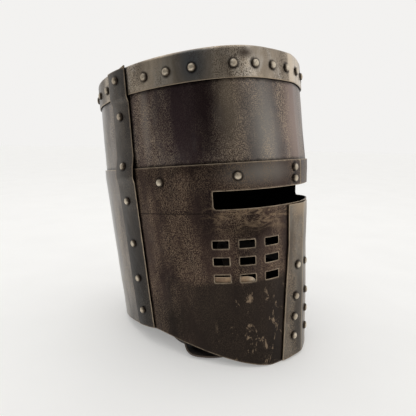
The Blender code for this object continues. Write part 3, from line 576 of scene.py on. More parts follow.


# Patches: middle, size, colour, and how far each hides the stipple. Some of them are painted reflection,
# sheen, light and shade, as marked below.
# painted reflection: upright bands, paler and darker, across the skull's right side
SKULL_PAINTED_REFLECTIONS = (
    ((-0.138, 0.060), (0.044, 0.120), (0.056, 0.037, 0.041), 0.6),
    ((-0.108, 0.060), (0.018, 0.120), (0.036, 0.023, 0.024), 0.8),
    ((-0.084, 0.060), (0.020, 0.090), (0.21, 0.17, 0.13), 0.0),
    ((-0.050, 0.030), (0.038, 0.100), (0.20, 0.190, 0.177), 0.1),
    ((-0.177, 0.050), (0.009, 0.070), (0.19, 0.165, 0.155), 0.0),
    ((-0.004, 0.040), (0.024, 0.120), (0.27, 0.205, 0.18), 0.5),
)
# painted sheen: a paler upright band on each side of the rear
REAR_PAINTED_SHEEN = (
    ((-0.294, -0.060), (0.040, 0.600), (0.36, 0.355, 0.35), 0.2),
    ((0.294, -0.060), (0.040, 0.600), (0.30, 0.29, 0.28), 0.2),
)
FACE_PATCHES = (
    ((-0.062, -0.010), (0.060, 0.020), (0.16, 0.145, 0.13), 0.3),
    ((-0.075, -0.066), (0.050, 0.012), (0.020, 0.014, 0.012), 0.6),
    # painted reflection: a dark upright band at the eye slot's rear end
    ((-0.112, -0.045), (0.028, 0.085), (0.018, 0.012, 0.012), 0.7),
    ((-0.165, -0.165), (0.050, 0.045), (0.016, 0.012, 0.010), 0.7),
)
BAND_PATCHES = (
    # painted reflection: a darker bluish patch on the band
    ((-0.116, 0.094), (0.026, 0.040), (0.16, 0.17, 0.18), 0.3),
    ((-0.065, 0.098), (0.014, 0.008), (0.10, 0.08, 0.065), 0.0),
    ((-0.275, 0.090), (0.060, 0.080), (0.10, 0.085, 0.070), 0.0),
)
STRIP_PATCHES = (((-0.215, -0.150), (0.090, 0.180), (0.020, 0.017, 0.015), 0.5),)
NASAL_PATCHES = (
    ((0.0, -0.048), (0.026, 0.016), (0.36, 0.28, 0.20), 0.0),
    # the next two: painted shade low on the near half and painted light down the far half
    ((-0.010, -0.185), (0.030, 0.100), (0.040, 0.033, 0.027), 0.5),
    ((0.022, -0.130), (0.022, 0.140), (0.27, 0.225, 0.18), 0.0),
)
# Colours of each steel: its ground, warm clouds, paler drifts and stipple.
SKULL_TONES = ((0.044, 0.029, 0.032), (0.105, 0.075, 0.070), (0.20, 0.195, 0.19), (0.44, 0.35, 0.26))
REAR_TONES = ((0.090, 0.080, 0.076), (0.150, 0.132, 0.122), (0.21, 0.20, 0.19), (0.36, 0.30, 0.23))
FACE_TONES = ((0.020, 0.013, 0.0125), (0.048, 0.031, 0.026), (0.07, 0.062, 0.056), (0.235, 0.168, 0.115))
BAND_TONES = ((0.30, 0.25, 0.195), (0.66, 0.56, 0.44), (0.66, 0.63, 0.58), (0.085, 0.066, 0.050))
STRIP_TONES = ((0.050, 0.045, 0.042), (0.072, 0.063, 0.055), (0.09, 0.09, 0.087), (0.13, 0.11, 0.09))
NASAL_TONES = ((0.10, 0.082, 0.067), (0.17, 0.14, 0.11), (0.21, 0.20, 0.18), (0.36, 0.28, 0.20))
SKULL_STEEL = steel("black_steel", *SKULL_TONES, 0.38, 0.25, SKULL_PAINTED_REFLECTIONS)
REAR_STEEL = steel("grey_steel", *REAR_TONES, 0.33, 0.4, REAR_PAINTED_SHEEN)
FACE_STEEL = steel("face_steel", *FACE_TONES, 0.42, 0.2, FACE_PATCHES, lower=True)
BAND_STEEL = steel("band_steel", *BAND_TONES, 0.36, 0.4, BAND_PATCHES)
STRIP_STEEL = steel("strip_steel", *STRIP_TONES, 0.33, 0.5, STRIP_PATCHES)
NASAL_STEEL = steel("nasal_steel", *NASAL_TONES, 0.38, 0.5, NASAL_PATCHES, ridge=0.6)
RIVET = rivet_steel("rivet_steel")
TAN_TONES = ((0.26, 0.18, 0.11), (0.42, 0.32, 0.21), (0.45, 0.34, 0.22))
CHEEK_TONES = ((0.17, 0.105, 0.060), (0.38, 0.26, 0.155), (0.40, 0.29, 0.19))
BROWN_TONES = ((0.012, 0.009, 0.008), (0.034, 0.024, 0.018), (0.060, 0.042, 0.030))
TAN_LEATHER = leather("tan_leather", *TAN_TONES)
CHEEK_LEATHER = leather("cheek_leather", *CHEEK_TONES, cheek=True)
BROWN_LEATHER = leather("brown_leather", *BROWN_TONES)
BRASS = brass("buckle_brass")


# Plates.


def band_rivet_places():
    return [side * (first + step * k) for side, first, step, count in BAND_RIVET_RUNS for k in range(count)]


BROW_RIVETS = (
    (-0.1636, -0.0158),
    (-0.0821, -0.0127),
    (-0.0121, -0.0079),
    (-0.0121, -0.0193),
    (0.1636, -0.0158),
    (0.0821, -0.0127),
    (HALF_ROUND - REAR_RIVET_STEP, -0.0145),
    (HALF_ROUND, -0.0145),
    (REAR_RIVET_STEP - HALF_ROUND, -0.0145),
)
STUDS = [(along, BAND_RIVET_Z) for along in band_rivet_places()] + list(BROW_RIVETS)
STUDS += [(side * STRIP_CENTRE, z) for side in (-1, 1) for z in STRIP_RIVETS_Z]
STUDS += [(side * along, z) for side in (-1, 1) for along, z in NASAL_RIVETS]


def to_studs(along, z):
    """The distance to the middle of the nearest rivet."""
    return np.min([np.hypot(along - s, z - h) for s, h in STUDS], axis=0)


def under_strips(along):
    """How far from the nearest side strip's edge: 0 underneath it."""
    return np.clip(np.abs(np.abs(along) - STRIP_CENTRE) - STRIP_WIDTH / 2, 0, None)


def nasal_half_width(z):
    return np.interp(z, [RIM_CHIN_Z, NASAL_FLARE_Z], [NASAL_HALF_LOW, NASAL_HALF_TOP])


def wear_and_shade_of(edge, along, z, cover=FAR):
    return np.stack([edge, to_studs(along, z), np.broadcast_to(cover, edge.shape)], -1)


def skull_marks(along, z):
    edge = np.full_like(z, FAR)
    beside = np.minimum(np.clip(BAND_LOW_Z - z, 0, None), np.clip(z - BROW_Z, 0, None))
    return wear_and_shade_of(edge, along, z, np.minimum(under_strips(along), beside))


BREATHS = [(low, high, top - BREATH_HEIGHT, top) for low, high in BREATH_COLUMNS for top in BREATH_TOPS_Z]
BREATHS += [(-high, -low, bottom, top) for low, high, bottom, top in BREATHS]


def face_marks(along, z):
    edges = [np.abs(z - BROW_Z), z - rim_z(along), rect_distance(along, z, SLOT)]
    edges += [rect_distance(along, z, rect) for rect in BREATHS]
    edges += [np.where(z > SLOT[3] - 0.001, np.abs(along), FAR)]
    nasal = np.where(z < NASAL_TOP_Z, np.clip(np.abs(along) - nasal_half_width(z), 0, None), FAR)
    cover = np.minimum(under_strips(along), nasal)
    return wear_and_shade_of(np.minimum.reduce(edges), along, z, cover)


def nape_marks(along, z):
    return wear_and_shade_of(np.minimum(np.abs(z - BROW_Z), z - rim_z(along)), along, z, under_strips(along))


def band_marks(along, z):
    return wear_and_shade_of(np.minimum(TOP_Z - z, z - BAND_LOW_Z), along, z, under_strips(along))


def shoulder(z):
    """The band's top edge is hammered round: how far it turns in."""
    share = np.clip((z - TOP_Z + SHOULDER_HEIGHT) / SHOULDER_HEIGHT, 0, 1)
    return SHOULDER_TURN * (1 - np.sqrt(np.clip(1 - share**2, 0, 1)))


def all_round():
    half = spread(GAP / 2, STRIP_CENTRE - GAP) + spread(STRIP_CENTRE + GAP, HALF_ROUND)
    return [-along for along in reversed(half[:-1])] + half


def rear_round():
    half = spread(STRIP_CENTRE + GAP, HALF_ROUND)
    return half + [-along for along in reversed(half[:-1])]


def skull_plates():
    rows = flat_rows(SKULL_TOP_Z, BROW_Z, BROW_FOLD_Z, SKULL_LOW_Z)
    half = spread(GAP / 2, STRIP_CENTRE - GAP)
    front = [-along for along in reversed(half)] + half
    faces = (out_by(-STEEL), out_by(0.0))
    fore = sheet("skull_plate_front", front, rows, *faces, SKULL_STEEL, marks=skull_marks)
    aft = sheet("skull_plate_rear", rear_round(), rows, *faces, REAR_STEEL, marks=skull_marks)
    return [fore, aft]


def face_rows(columns):
    """Rows that keep to the holes' edges, and spread out between the lowest breaths and the rim."""
    corner = SLOT_CORNER
    marks = [BROW_Z, BROW_FOLD_Z, SLOT[3] + 0.0005, SLOT[3], SLOT[3] - corner, SLOT[2] + corner, SLOT[2]]
    for top in BREATH_TOPS_Z:
        marks += [top, top - BREATH_ROUND, top - BREATH_HEIGHT + BREATH_ROUND, top - BREATH_HEIGHT]
    corner_rows = [SLOT[3] - corner * SLOT_TOP_CORNER * share for share in (0.33, 0.67, 1)]
    corner_rows += [SLOT[2] + corner * share for share in (0.25, 0.5, 0.75)]
    upper = sorted({*spread_over(marks), *corner_rows}, reverse=True)
    return rows_down_to(rim_z(columns), upper, 28)


def face_plate(name, side):
    corner = SLOT_CORNER
    slot_end = -SLOT[0] if side < 0 else SLOT[1]
    marks = [slot_end - corner * share for share in (0, 0.13, 0.27, SLOT_TOP_CORNER, 0.5, 0.75, 1)]
    for low, high in BREATH_COLUMNS:
        marks += [low, low + BREATH_ROUND, high - BREATH_ROUND, high]
    half = spread(GAP / 2, STRIP_CENTRE - GAP, also=marks)
    holes = [(-slot_end, slot_end, SLOT[2], SLOT[3])] + [r for r in BREATHS if r[0] * side > 0]
    columns = half if side > 0 else [-along for along in reversed(half)]
    faces = (out_by(GAP), out_by(FACE_OUT))
    return sheet(name, columns, face_rows, *faces, FACE_STEEL, holes, corner, marks=face_marks)


def nape_rows(columns):
    return rows_down_to(rim_z(columns), spread_over((BROW_Z, BROW_FOLD_Z)), 55)


def nape_plate():
    faces = (out_by(GAP), out_by(FACE_OUT))
    return sheet("nape_plate", rear_round(), nape_rows, *faces, REAR_STEEL, marks=nape_marks)


def top_band():
    turned = [TOP_Z - SHOULDER_HEIGHT * share for share in (0, 0.2, 0.45, 0.7, 1)]
    rows = fixed_rows(turned + spread_over((TOP_Z - SHOULDER_HEIGHT, BAND_LOW_Z))[1:])

    def outer(along, z):
        return FACE_OUT - shoulder(z)

    def inner(along, z):
        return GAP - shoulder(z)

    return sheet("top_band", all_round(), rows, inner, outer, BAND_STEEL, ring=True, marks=band_marks)


def top_plate():
    """The flat crown: rings that close in on the middle, and a flange inside the skull."""
    columns = np.array(all_round())
    count = len(columns)
    under_z = CROWN_Z - STEEL
    inset = -STEEL - GAP
    inner = inset - STEEL
    rim = shell(columns, CROWN_Z, -GAP)
    middle = (rim.min(0) + rim.max(0)) / 2
    shares = np.linspace(0, 1, 34)[1:]
    rings = [middle + (rim - middle) * share for share in shares]
    low_z = FLANGE_LOW_Z
    flange = ((under_z, -GAP), (under_z, inset), (low_z, inset), (low_z, inner), (under_z, inner))
    rings += [shell(columns, z, out) for z, out in flange]
    points = np.concatenate(rings)
    hammered = (len(shares) - 1) * count
    points[:hammered, 2] += 0.0004 * wander(points[:hammered], 0.045, 5)
    last = (len(rings) - 1) * count
    faces = [list(range(count)), *squares(len(rings), count, ring=True)]
    faces.append([last + k for k in reversed(range(count))])
    place = points + np.array([0.5, 0, 0])
    return new_piece("top_plate", points, faces, SKULL_STEEL, (place, np.full_like(points, FAR)), 0.0004)


STRIP_DROP_Z = BAND_LOW_Z - STRIP_TRIM
STRIP_BENDS = (
    (BROW_FOLD_Z - STRIP_STEP, STRIP_OUT),
    (BROW_FOLD_Z, STRIP_OUT + STRIP_FOLD_PROUD),
    (BROW_Z + 0.0005, STRIP_OUT + STRIP_FOLD_PROUD / 2),
    (STRIP_RISE_Z, GAP),
    (STRIP_DROP_Z - STRIP_STEP, GAP),
    (STRIP_DROP_Z, STRIP_OUT),
)


def strip_under(along, z):
    return np.interp(z, *zip(*STRIP_BENDS)) + strip_swell(along)


def strip_swell(along):
    """The strip is a little domed across."""
    share = (np.abs(along) - STRIP_CENTRE) / (STRIP_WIDTH / 2)
    return 0.0005 * (1 - share**2)


def strip_face(along, z):
    return strip_under(along, z) + STEEL


def strip_rows(columns):
    tip = 0.0022 * np.clip((STRIP_CENTRE - np.abs(columns)) / (STRIP_WIDTH / 2) - 0.55, 0, 1) / 0.45
    top = TOP_Z - STRIP_TRIM + tip
    stops = (STRIP_DROP_Z, STRIP_DROP_Z - STRIP_STEP, STRIP_RISE_Z, BROW_Z, BROW_FOLD_Z)
    stops += (BROW_FOLD_Z - STRIP_STEP,)
    cap = top[:, None] + (STRIP_DROP_Z - top)[:, None] * np.linspace(0, 1, 13)[None, :-1]
    lower = rows_down_to(rim_z(columns) + STRIP_TRIM, spread_over(stops, 0.0025), 59)
    return np.concatenate([cap, lower], 1)


def strip_marks(along, z):
    sides = STRIP_WIDTH / 2 - np.abs(np.abs(along) - STRIP_CENTRE)
    edge = np.minimum.reduce([sides, z - rim_z(along) - STRIP_TRIM, TOP_Z - STRIP_TRIM - z])
    return wear_and_shade_of(edge, along, z)


def side_strip(name, side):
    centre = side * STRIP_CENTRE
    columns = spread(centre - STRIP_WIDTH / 2, centre + STRIP_WIDTH / 2, step=0.0025)
    return sheet(name, columns, strip_rows, strip_under, strip_face, STRIP_STEEL, marks=strip_marks)


def nasal_under(along, z):
    return STRIP_OUT + NASAL_CREASE * np.clip(1 - np.abs(along) / nasal_half_width(z), 0, None)


def nasal_face(along, z):
    return nasal_under(along, z) + STEEL


def nasal_plate():
    shares = np.linspace(-1, 1, 29)
    heights = np.linspace(NASAL_TOP_Z, NASAL_LOW_Z, 58)
    along = (shares[:, None] * nasal_half_width(heights)[None, :]).ravel()
    z = np.tile(heights, len(shares))
    swell = dents(shell(along, z, 0))
    points = [shell(along, z, face(along, z) + swell) for face in (nasal_face, nasal_under)]
    sides = nasal_half_width(z) - np.abs(along)
    crease = np.abs(along) + 0.0012
    edge = np.minimum.reduce([sides, NASAL_TOP_Z - z, z - NASAL_LOW_Z, crease])
    wear = wear_and_shade_of(edge, along, z)
    place = np.stack([along, z, 0 * z], -1)
    faces, _ = slab(len(shares), len(heights))
    marks = (np.concatenate([place, place]), np.concatenate([wear, wear]))
    return new_piece("nasal_plate", np.concatenate(points), faces, NASAL_STEEL, marks, 0.00045)


# Rivets.


def shell_frame(along, z, out):
    """A frame on the surface that lies out(along, z) from the skull, its Z axis along the normal."""

    def surface(a, h):
        bare = shell([a], [h], 0)
        return Vector(shell([a], [h], out(np.array([a]), np.array([h])) + dents(bare))[0])

    step = 0.002
    across = surface(along + step, z) - surface(along - step, z)
    up = surface(along, z + step) - surface(along, z - step)
    normal = across.cross(up).normalized()
    up = normal.cross(across).normalized()
    turned = Matrix((up.cross(normal), up, normal)).transposed().to_4x4()
    return Matrix.Translation(surface(along, z)) @ turned


def rivet_dome(dice):
    """Rings of (radius, height) for a hammered dome, from its top to its seat."""
    radius = RIVET_RADIUS * dice.uniform(0.95, 1.04)
    height = RIVET_HEIGHT * dice.uniform(0.90, 1.06)
    angles = [math.radians(a) for a in (72, 54, 38, 24, 12, 3)]
    rings = [(radius * math.cos(a) ** 0.9, height * math.sin(a) ** 0.85) for a in angles]
    return rings + [(radius * 0.97, -RIVET_SUNK)]


def rivets(name, spots, outer, nodes=()):
    """One piece of several rivets: a dome, and a shank and a tail inside."""
    dice = random.Random(name)
    sides = 20
    turns = [2 * math.pi * side / sides for side in range(sides)]
    points, faces, wear = [], [], []
    for along, z, length in spots:
        at = shell_frame(along, z, outer)
        for axis in "XY":
            at = at @ Matrix.Rotation(dice.uniform(-0.05, 0.05), 4, axis)
        rings = rivet_dome(dice)
        dome = len(rings)
        lumps = [1 + dice.uniform(-0.035, 0.035) for _ in range(sides)]
        rings += [(SHANK_RADIUS, -RIVET_SUNK), (SHANK_RADIUS, -length), (TAIL_RADIUS, -length)]
        rings.append((TAIL_RADIUS * 0.7, -length - TAIL_HEIGHT))
        start = len(points)
        points.append(at @ Vector((0, 0, rings[0][1] + 0.00012)))
        wear.append((FAR, 0, FAR))
        for k, (radius, height) in enumerate(rings):
            for turn, lump in zip(turns, lumps):
                wide = radius * (lump if k < dome else 1)
                points.append(at @ Vector((wide * math.cos(turn), wide * math.sin(turn), height)))
                # the share of the dome's radius, which the rivet steel darkens towards the foot as painted
                # shade
                wear.append((FAR, radius / RIVET_RADIUS if k < dome else 1, FAR))
        points.append(at @ Vector((0, 0, rings[-1][1])))
        wear.append((FAR, 1, FAR))
        end = len(points) - 1
        faces += squares(len(rings), sides, start + 1, ring=True)
        for side in range(sides):
            after = (side + 1) % sides
            faces.append([start, start + 1 + side, start + 1 + after])
            faces.append([end, end - sides + after, end - sides + side])
    marks = (np.zeros((len(points), 3)), wear)
    piece = new_piece(name, [tuple(p) for p in points], faces, RIVET, marks, sharp=48)
    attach(piece, "helmet")
    if nodes:
        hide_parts(*nodes)


def all_rivets():
    for side, word in ((-1, "right"), (1, "left")):
        spots = []
        for z in STRIP_RIVETS_Z:
            inner = GAP if z < SKULL_LOW_Z else -STEEL
            if z > BAND_LOW_Z:
                inner = -2 * STEEL - GAP
            if SKULL_LOW_Z < z < LINER_TOP_Z:
                inner = -STEEL - GAP - LEATHER
            if z == HANGER:
                inner = -HANGER_IN
            length = float(strip_face(side * STRIP_CENTRE, z)) - inner + TAIL_PROUD
            spots.append((side * STRIP_CENTRE, z, length))
        names = [f"strip_rivet_{word}_{k}" for k in range(1, 8)]
        rivets(f"strip_rivets_{word}", spots, strip_face, names)
    spots = [(side * along, z, NASAL_RIVET_LENGTH) for side in (-1, 1) for along, z in NASAL_RIVETS]
    names = [f"nasal_rivet_{word}_{k}" for word in ("right", "left") for k in range(1, 5)]
    rivets("nasal_rivets", spots, nasal_face, names)
    spots = [(along, z, FACE_OUT + STEEL + GAP + LEATHER + TAIL_PROUD) for along, z in BROW_RIVETS]
    counts = (("right", 4), ("left", 2), ("rear", 3))
    names = [f"brow_rivet_{word}_{k + 1}" for word, count in counts for k in range(count)]
    rivets("brow_rivets", spots, out_by(FACE_OUT), names)
    spots = [(along, BAND_RIVET_Z, FACE_OUT + 2 * STEEL + GAP + TAIL_PROUD) for along in band_rivet_places()]
    rivets("band_rivets", spots, out_by(FACE_OUT))


# The liner.

LINER_TOP_Z = 0.018
LINER_LOW_Z = SKULL_LOW_Z + 0.0015
TONGUES = 6
TONGUE_SHARE = 0.78
CROWN_RISE = 0.066
CROWN_SHARE = 0.30
CROWN_RADIUS = 0.040
TONGUE_LIFT = 0.001
TONGUE_IN = 0.0058


def liner_marks(along, z):
    return wear_and_shade_of(np.minimum(LINER_TOP_Z - z, z - LINER_LOW_Z), along, z)


def head_band():
    rows = flat_rows(LINER_TOP_Z, BROW_Z, LINER_LOW_Z)
    faces = (out_by(-STEEL - GAP - LEATHER), out_by(-STEEL - GAP))
    columns = all_round()
    return sheet("liner_headband", columns, rows, *faces, TAN_LEATHER, (), 0.0, True, liner_marks, 0.0006)


def liner_middle():
    return (shell([0], [LINER_TOP_Z], 0)[0] + shell([HALF_ROUND], [LINER_TOP_Z], 0)[0]) / 2


def tongue_points(along, climb, depth):
    foot = shell(along, LINER_TOP_Z, -TONGUE_IN)
    middle = liner_middle()
    full = math.acos(CROWN_SHARE)
    angle = climb * full
    rise = (CROWN_RISE - depth) * np.sin(angle) / math.sin(full)
    flat = (foot - middle) * np.cos(angle)[..., None]
    flat[..., 2] = 0
    flat -= flat / np.linalg.norm(flat, axis=-1, keepdims=True) * (depth * np.cos(angle))[..., None]
    flat[..., 2] = rise + TONGUE_LIFT
    return flat + np.array([middle[0], middle[1], LINER_TOP_Z])


def block(name, near, far, material, frame_of=UPRIGHT, bevel=0.0006):
    """A closed piece between two matching grids of points (rows, columns, 3), worn from its border."""
    rows, columns = near.shape[:2]
    points = np.concatenate([near.reshape(-1, 3), far.reshape(-1, 3)])
    size = rows * columns
    faces, border = slab(rows, columns)
    wear = np.full_like(points, FAR)
    wear[:size, 0] = [np.min(np.linalg.norm(points[border] - p, axis=1)) for p in points[:size]]
    wear[size:] = wear[:size]
    place = np.zeros_like(points)
    # the far side counts as the inner one, which the cheek leather paints with shade
    place[size:, 2] = 1
    return new_piece(name, points, faces, material, (place, wear), bevel, frame_of=frame_of)


def liner_tongues():
    pitch = 2 * HALF_ROUND / TONGUES
    made = []
    for k in range(TONGUES):
        centre = (k + 0.5) * pitch
        climb = np.linspace(0, 1, 33)[:, None]
        shares = np.linspace(-0.5, 0.5, 25)[None, :]
        narrow = TONGUE_SHARE * (1 - 0.25 * climb**2)
        along = centre + pitch * narrow * shares
        along = np.where(along > HALF_ROUND, along - 2 * HALF_ROUND, along)
        climb = climb + 0 * shares
        sag = 0.0012 * np.sin(math.pi * climb) * np.cos(math.pi * shares)
        grids = [tongue_points(along, climb, depth + sag) for depth in (0.0, LEATHER)]
        made.append(block(f"liner_tongue_{k + 1}", *grids, TAN_LEATHER))
    return made


def crown_disc():
    middle = liner_middle()
    seat_z = LINER_TOP_Z + TONGUE_LIFT + CROWN_RISE + GAP
    turns = np.linspace(0, 2 * math.pi, 64, endpoint=False)
    radii = CROWN_RADIUS * np.linspace(0.05, 1, 12)[:, None]
    x = middle[0] + radii * np.cos(turns)
    y = middle[1] + radii * np.sin(turns)
    grids = [np.stack([x, y, z + 0 * x], -1).reshape(-1, 3) for z in (seat_z + LEATHER, seat_z)]
    points = np.concatenate(grids)
    count, size = len(turns), len(grids[0])
    faces = [list(range(count)), [size + k for k in reversed(range(count))]]
    faces += squares(len(radii), count, ring=True) + squares(len(radii), count, size, ring=True, turned=True)
    faces += wall(size - count, 2 * size - count, count)
    wear = np.full_like(points, FAR)
    wear[:, 0] = CROWN_RADIUS - np.linalg.norm(points[:, :2] - middle[:2], axis=1)
    return new_piece("liner_crown_disc", points, faces, TAN_LEATHER, (np.zeros_like(points), wear), 0.0006)


CHEEK_TOP_Z = -0.1135
CHEEK_DROP = 0.0210
CHEEK_START = 0.0655
CHEEK_END = 0.186


def cheek_strips():
    """Leather straps inside the face plates, with a round front end."""
    shares = np.linspace(0, 1, 15)
    starts = CHEEK_START + CHEEK_DROP * 0.5 * (1 - np.sqrt(np.clip(1 - (2 * shares - 1) ** 2, 0, 1)))
    along = starts[:, None] + (CHEEK_END - starts[:, None]) * np.linspace(0, 1, 60)[None, :]
    z = CHEEK_TOP_Z - CHEEK_DROP * shares[:, None] + 0 * along
    swell = dents(shell(along.ravel(), z.ravel(), 0)).reshape(along.shape)
    made = []
    for side, word in ((-1, "right"), (1, "left")):
        grids = [shell(side * along, z, out + swell) for out in (0.0, -LEATHER)]
        made.append(block(f"cheek_strip_{word}", *grids, CHEEK_LEATHER, bevel=0.0005))
    return made


# The chin strap, in the standing frame.

HINGE = Vector((0, 0.016921, 0.075811))
STRAP_SPAN = 0.081842
STRAP_WIDTH = 0.022
STRAP_FLOOR = 0.0035
STRAP_REACH = 0.095
BUCKLE_Y = HINGE.y - STRAP_REACH
BAR_X = -0.010
BAR_Z = 0.0047
FRAME_LENGTH = 0.024
FRAME_WIDTH = 0.031
FRAME_ROD = 0.0032
PRONG_RADIUS = 0.0011
PRONG_LOOP = 0.0037
KEEPER_X = -0.036
KEEPER_WIDTH = 0.008
KEEPER_THICKNESS = 0.0014
STRAP_TIP_X = -0.052
HANG_HOLE_RADIUS = 0.0027
PRONG_HOLE_RADIUS = 0.0016
FRAME_CORNER = 0.0025
KEEPER_CORNER = 0.0016


def smooth_path(points, steps):
    ends = [2 * points[0] - points[1], *points, 2 * points[-1] - points[-2]]
    found = []
    for a, b, c, d in zip(ends, ends[1:], ends[2:], ends[3:]):
        for k in range(steps):
            u = k / steps
            bend = (2 * a - 5 * b + 4 * c - d) * u * u + (3 * b - a - 3 * c + d) * u**3
            found.append(0.5 * (2 * b + (c - a) * u + bend))
    return found + [points[-1]]


def ribbon(name, stops, thickness, material, steps=8, across=13, bevel=0.0006):
    """A strap through stops, each a point and the way from there to the strap's edge."""
    path = smooth_path([Vector(point) for point, _ in stops], steps)
    edges = smooth_path([Vector(edge) for _, edge in stops], steps)
    near, far = [], []
    for k, middle in enumerate(path):
        ahead = (path[min(k + 1, len(path) - 1)] - path[max(k - 1, 0)]).normalized()
        side = (edges[k] - ahead * edges[k].dot(ahead)).normalized() * edges[k].length
        lift = ahead.cross(side).normalized() * thickness / 2
        shares = np.linspace(-1, 1, across)
        near.append([tuple(middle + lift * (1 - 0.25 * share**6) + side * share) for share in shares])
        far.append([tuple(middle - lift * (1 - 0.25 * share**6) + side * share) for share in shares])
    return block(name, np.array(near), np.array(far), material, STANDING, bevel)


def strap_run(side):
    half = STRAP_WIDTH / 2
    floor = STRAP_FLOOR - HINGE.z
    upright = (0, -0.82, 0.57)
    run = (
        (0.0, 0.0048, 0.0068, upright, 0.50),
        (0.0, 0.0028, 0.0040, upright, 0.78),
        (0.0, 0.0, 0.0, upright, 0.88),
        (-0.0010, -0.0085, -0.012, upright, 0.94),
        (-0.0050, -0.018, -0.025, upright, 1.0),
        (-0.0060, -0.031, -0.043, (0.05 * side, -0.82, 0.55), 1.0),
        (-0.0058, -0.044, -0.058, (0.25 * side, -0.80, 0.50), 1.0),
        (-0.0062, -0.055, floor + 0.0055, (0.6 * side, -0.6, 0.40), 1.0),
        (-0.0080, -0.066, floor + 0.0008, (0.95 * side, -0.25, 0.03), 1.0),
        (-0.0125, -0.079, floor, (0.85 * side, -0.5, 0), 1.0),
        (-0.0225, -0.0905, floor, (0.5 * side, -0.85, 0), 1.0),
        (-0.0370, -STRAP_REACH, floor, (0, -1, 0), 1.0),
    )
    stops = []
    for inward, back, rise, edge, share in run:
        point = (side * (STRAP_SPAN + inward), HINGE.y + back, HINGE.z + rise)
        stops.append((point, Vector(edge).normalized() * half * share))
    return stops


def cut_box(obj, low, high):
    corners = [(x, y, z) for x in (low[0], high[0]) for y in (low[1], high[1]) for z in (low[2], high[2])]
    faces = [(0, 1, 3, 2), (4, 5, 7, 6), (0, 1, 5, 4), (2, 3, 7, 6), (0, 2, 6, 4), (1, 3, 7, 5)]
    mesh = bpy.data.meshes.new("box")
    mesh.from_pydata(corners, [], faces)
    face_outwards(mesh)
    cut_with(obj, mesh, STANDING)


def cut_with(obj, mesh, place):
    """Cuts a shape out of a piece, and applies the cut."""
    cutter = add_object("cutter", mesh)
    cutter.matrix_world = place
    cut = obj.modifiers.new("cut", "BOOLEAN")
    cut.operation = "DIFFERENCE"
    cut.solver = "EXACT"
    cut.object = cutter
    bpy.context.view_layer.objects.active = obj
    obj.modifiers.move(len(obj.modifiers) - 1, 0)
    bpy.ops.object.modifier_apply(modifier="cut")
    bpy.data.objects.remove(cutter, do_unlink=True)


def round_hole(obj, place, radius):
    work = bmesh.new()
    bmesh.ops.create_cone(work, cap_ends=True, segments=24, radius1=radius, radius2=radius, depth=0.012)
    mesh = bpy.data.meshes.new("hole")
    work.to_mesh(mesh)
    work.free()
    cut_with(obj, mesh, place)


def strap_right():
    y = BUCKLE_Y
    edge = (0, -STRAP_WIDTH / 2, 0)
    wrap = FRAME_ROD * 0.6 + GAP + LEATHER / 2
    fold_z = STRAP_FLOOR + LEATHER + 2 * GAP
    course = [(KEEPER_X + 0.006, STRAP_FLOOR), (BAR_X - 0.010, STRAP_FLOOR - 0.0004)]
    course.append((BAR_X - 0.004, BAR_Z - wrap + 0.0003))
    for turn in (-70, -35, 0, 35, 70):
        angle = math.radians(turn)
        course.append((BAR_X + wrap * math.cos(angle), BAR_Z + wrap * math.sin(angle)))
    course += [(BAR_X - 0.004, BAR_Z + wrap - 0.0004), (BAR_X - 0.009, fold_z + 0.0003)]
    course.append((BAR_X - 0.013, fold_z))
    stops = strap_run(-1) + [((x, y, z), edge) for x, z in course]
    strap = ribbon("chin_strap_right", stops, LEATHER, BROWN_LEATHER)
    hang_hole(strap, -1)
    cut_box(strap, (BAR_X - 0.0060, y - 0.0024, -0.002), (BAR_X + 0.010, y + 0.0024, 0.014))
    return strap


def hang_hole(strap, side):
    place = Matrix.Translation((side * STRAP_SPAN, HINGE.y, HINGE.z)) @ Matrix.Rotation(math.pi / 2, 4, "Y")
    round_hole(strap, place, HANG_HOLE_RADIUS)


def strap_left():
    y = BUCKLE_Y
    edge = (0, -STRAP_WIDTH / 2 + 0.0004, 0)
    front_x = BAR_X + FRAME_LENGTH
    under = LEATHER / 2 + GAP
    over = BAR_Z + FRAME_ROD * 0.6 + 1.5 * LEATHER + 4 * GAP
    on_top = STRAP_FLOOR + LEATHER + 4 * GAP
    course = (
        (front_x + 0.009, under + 0.0004),
        (front_x + 0.003, under),
        (front_x - 0.002, under),
        (front_x - 0.005, under + 0.0012),
        (front_x - 0.011, over * 0.55),
        (BAR_X + 0.007, over - 0.0022),
        (BAR_X + 0.002, over - 0.0002),
        (BAR_X - 0.005, over),
        (BAR_X - 0.013, on_top + LEATHER + 0.0008),
        (BAR_X - 0.018, on_top + 0.0010),
        (KEEPER_X + 0.003, on_top),
        (KEEPER_X, on_top),
        (STRAP_TIP_X + 0.004, on_top),
    )
    stops = strap_run(1) + [((x, y, z), edge) for x, z in course]
    stops.append(((STRAP_TIP_X, y, on_top), (0, -STRAP_WIDTH / 4, 0)))
    strap = ribbon("chin_strap_left", stops, LEATHER, BROWN_LEATHER)
    hang_hole(strap, 1)
    cut_box(strap, (BAR_X, y - 0.0020, 0.001), (BAR_X + 0.0175, y + 0.0020, 0.020))
    for x in (0.026, 0.038):
        round_hole(strap, Matrix.Translation((x, y, STRAP_FLOOR)), PRONG_HOLE_RADIUS)
    return strap


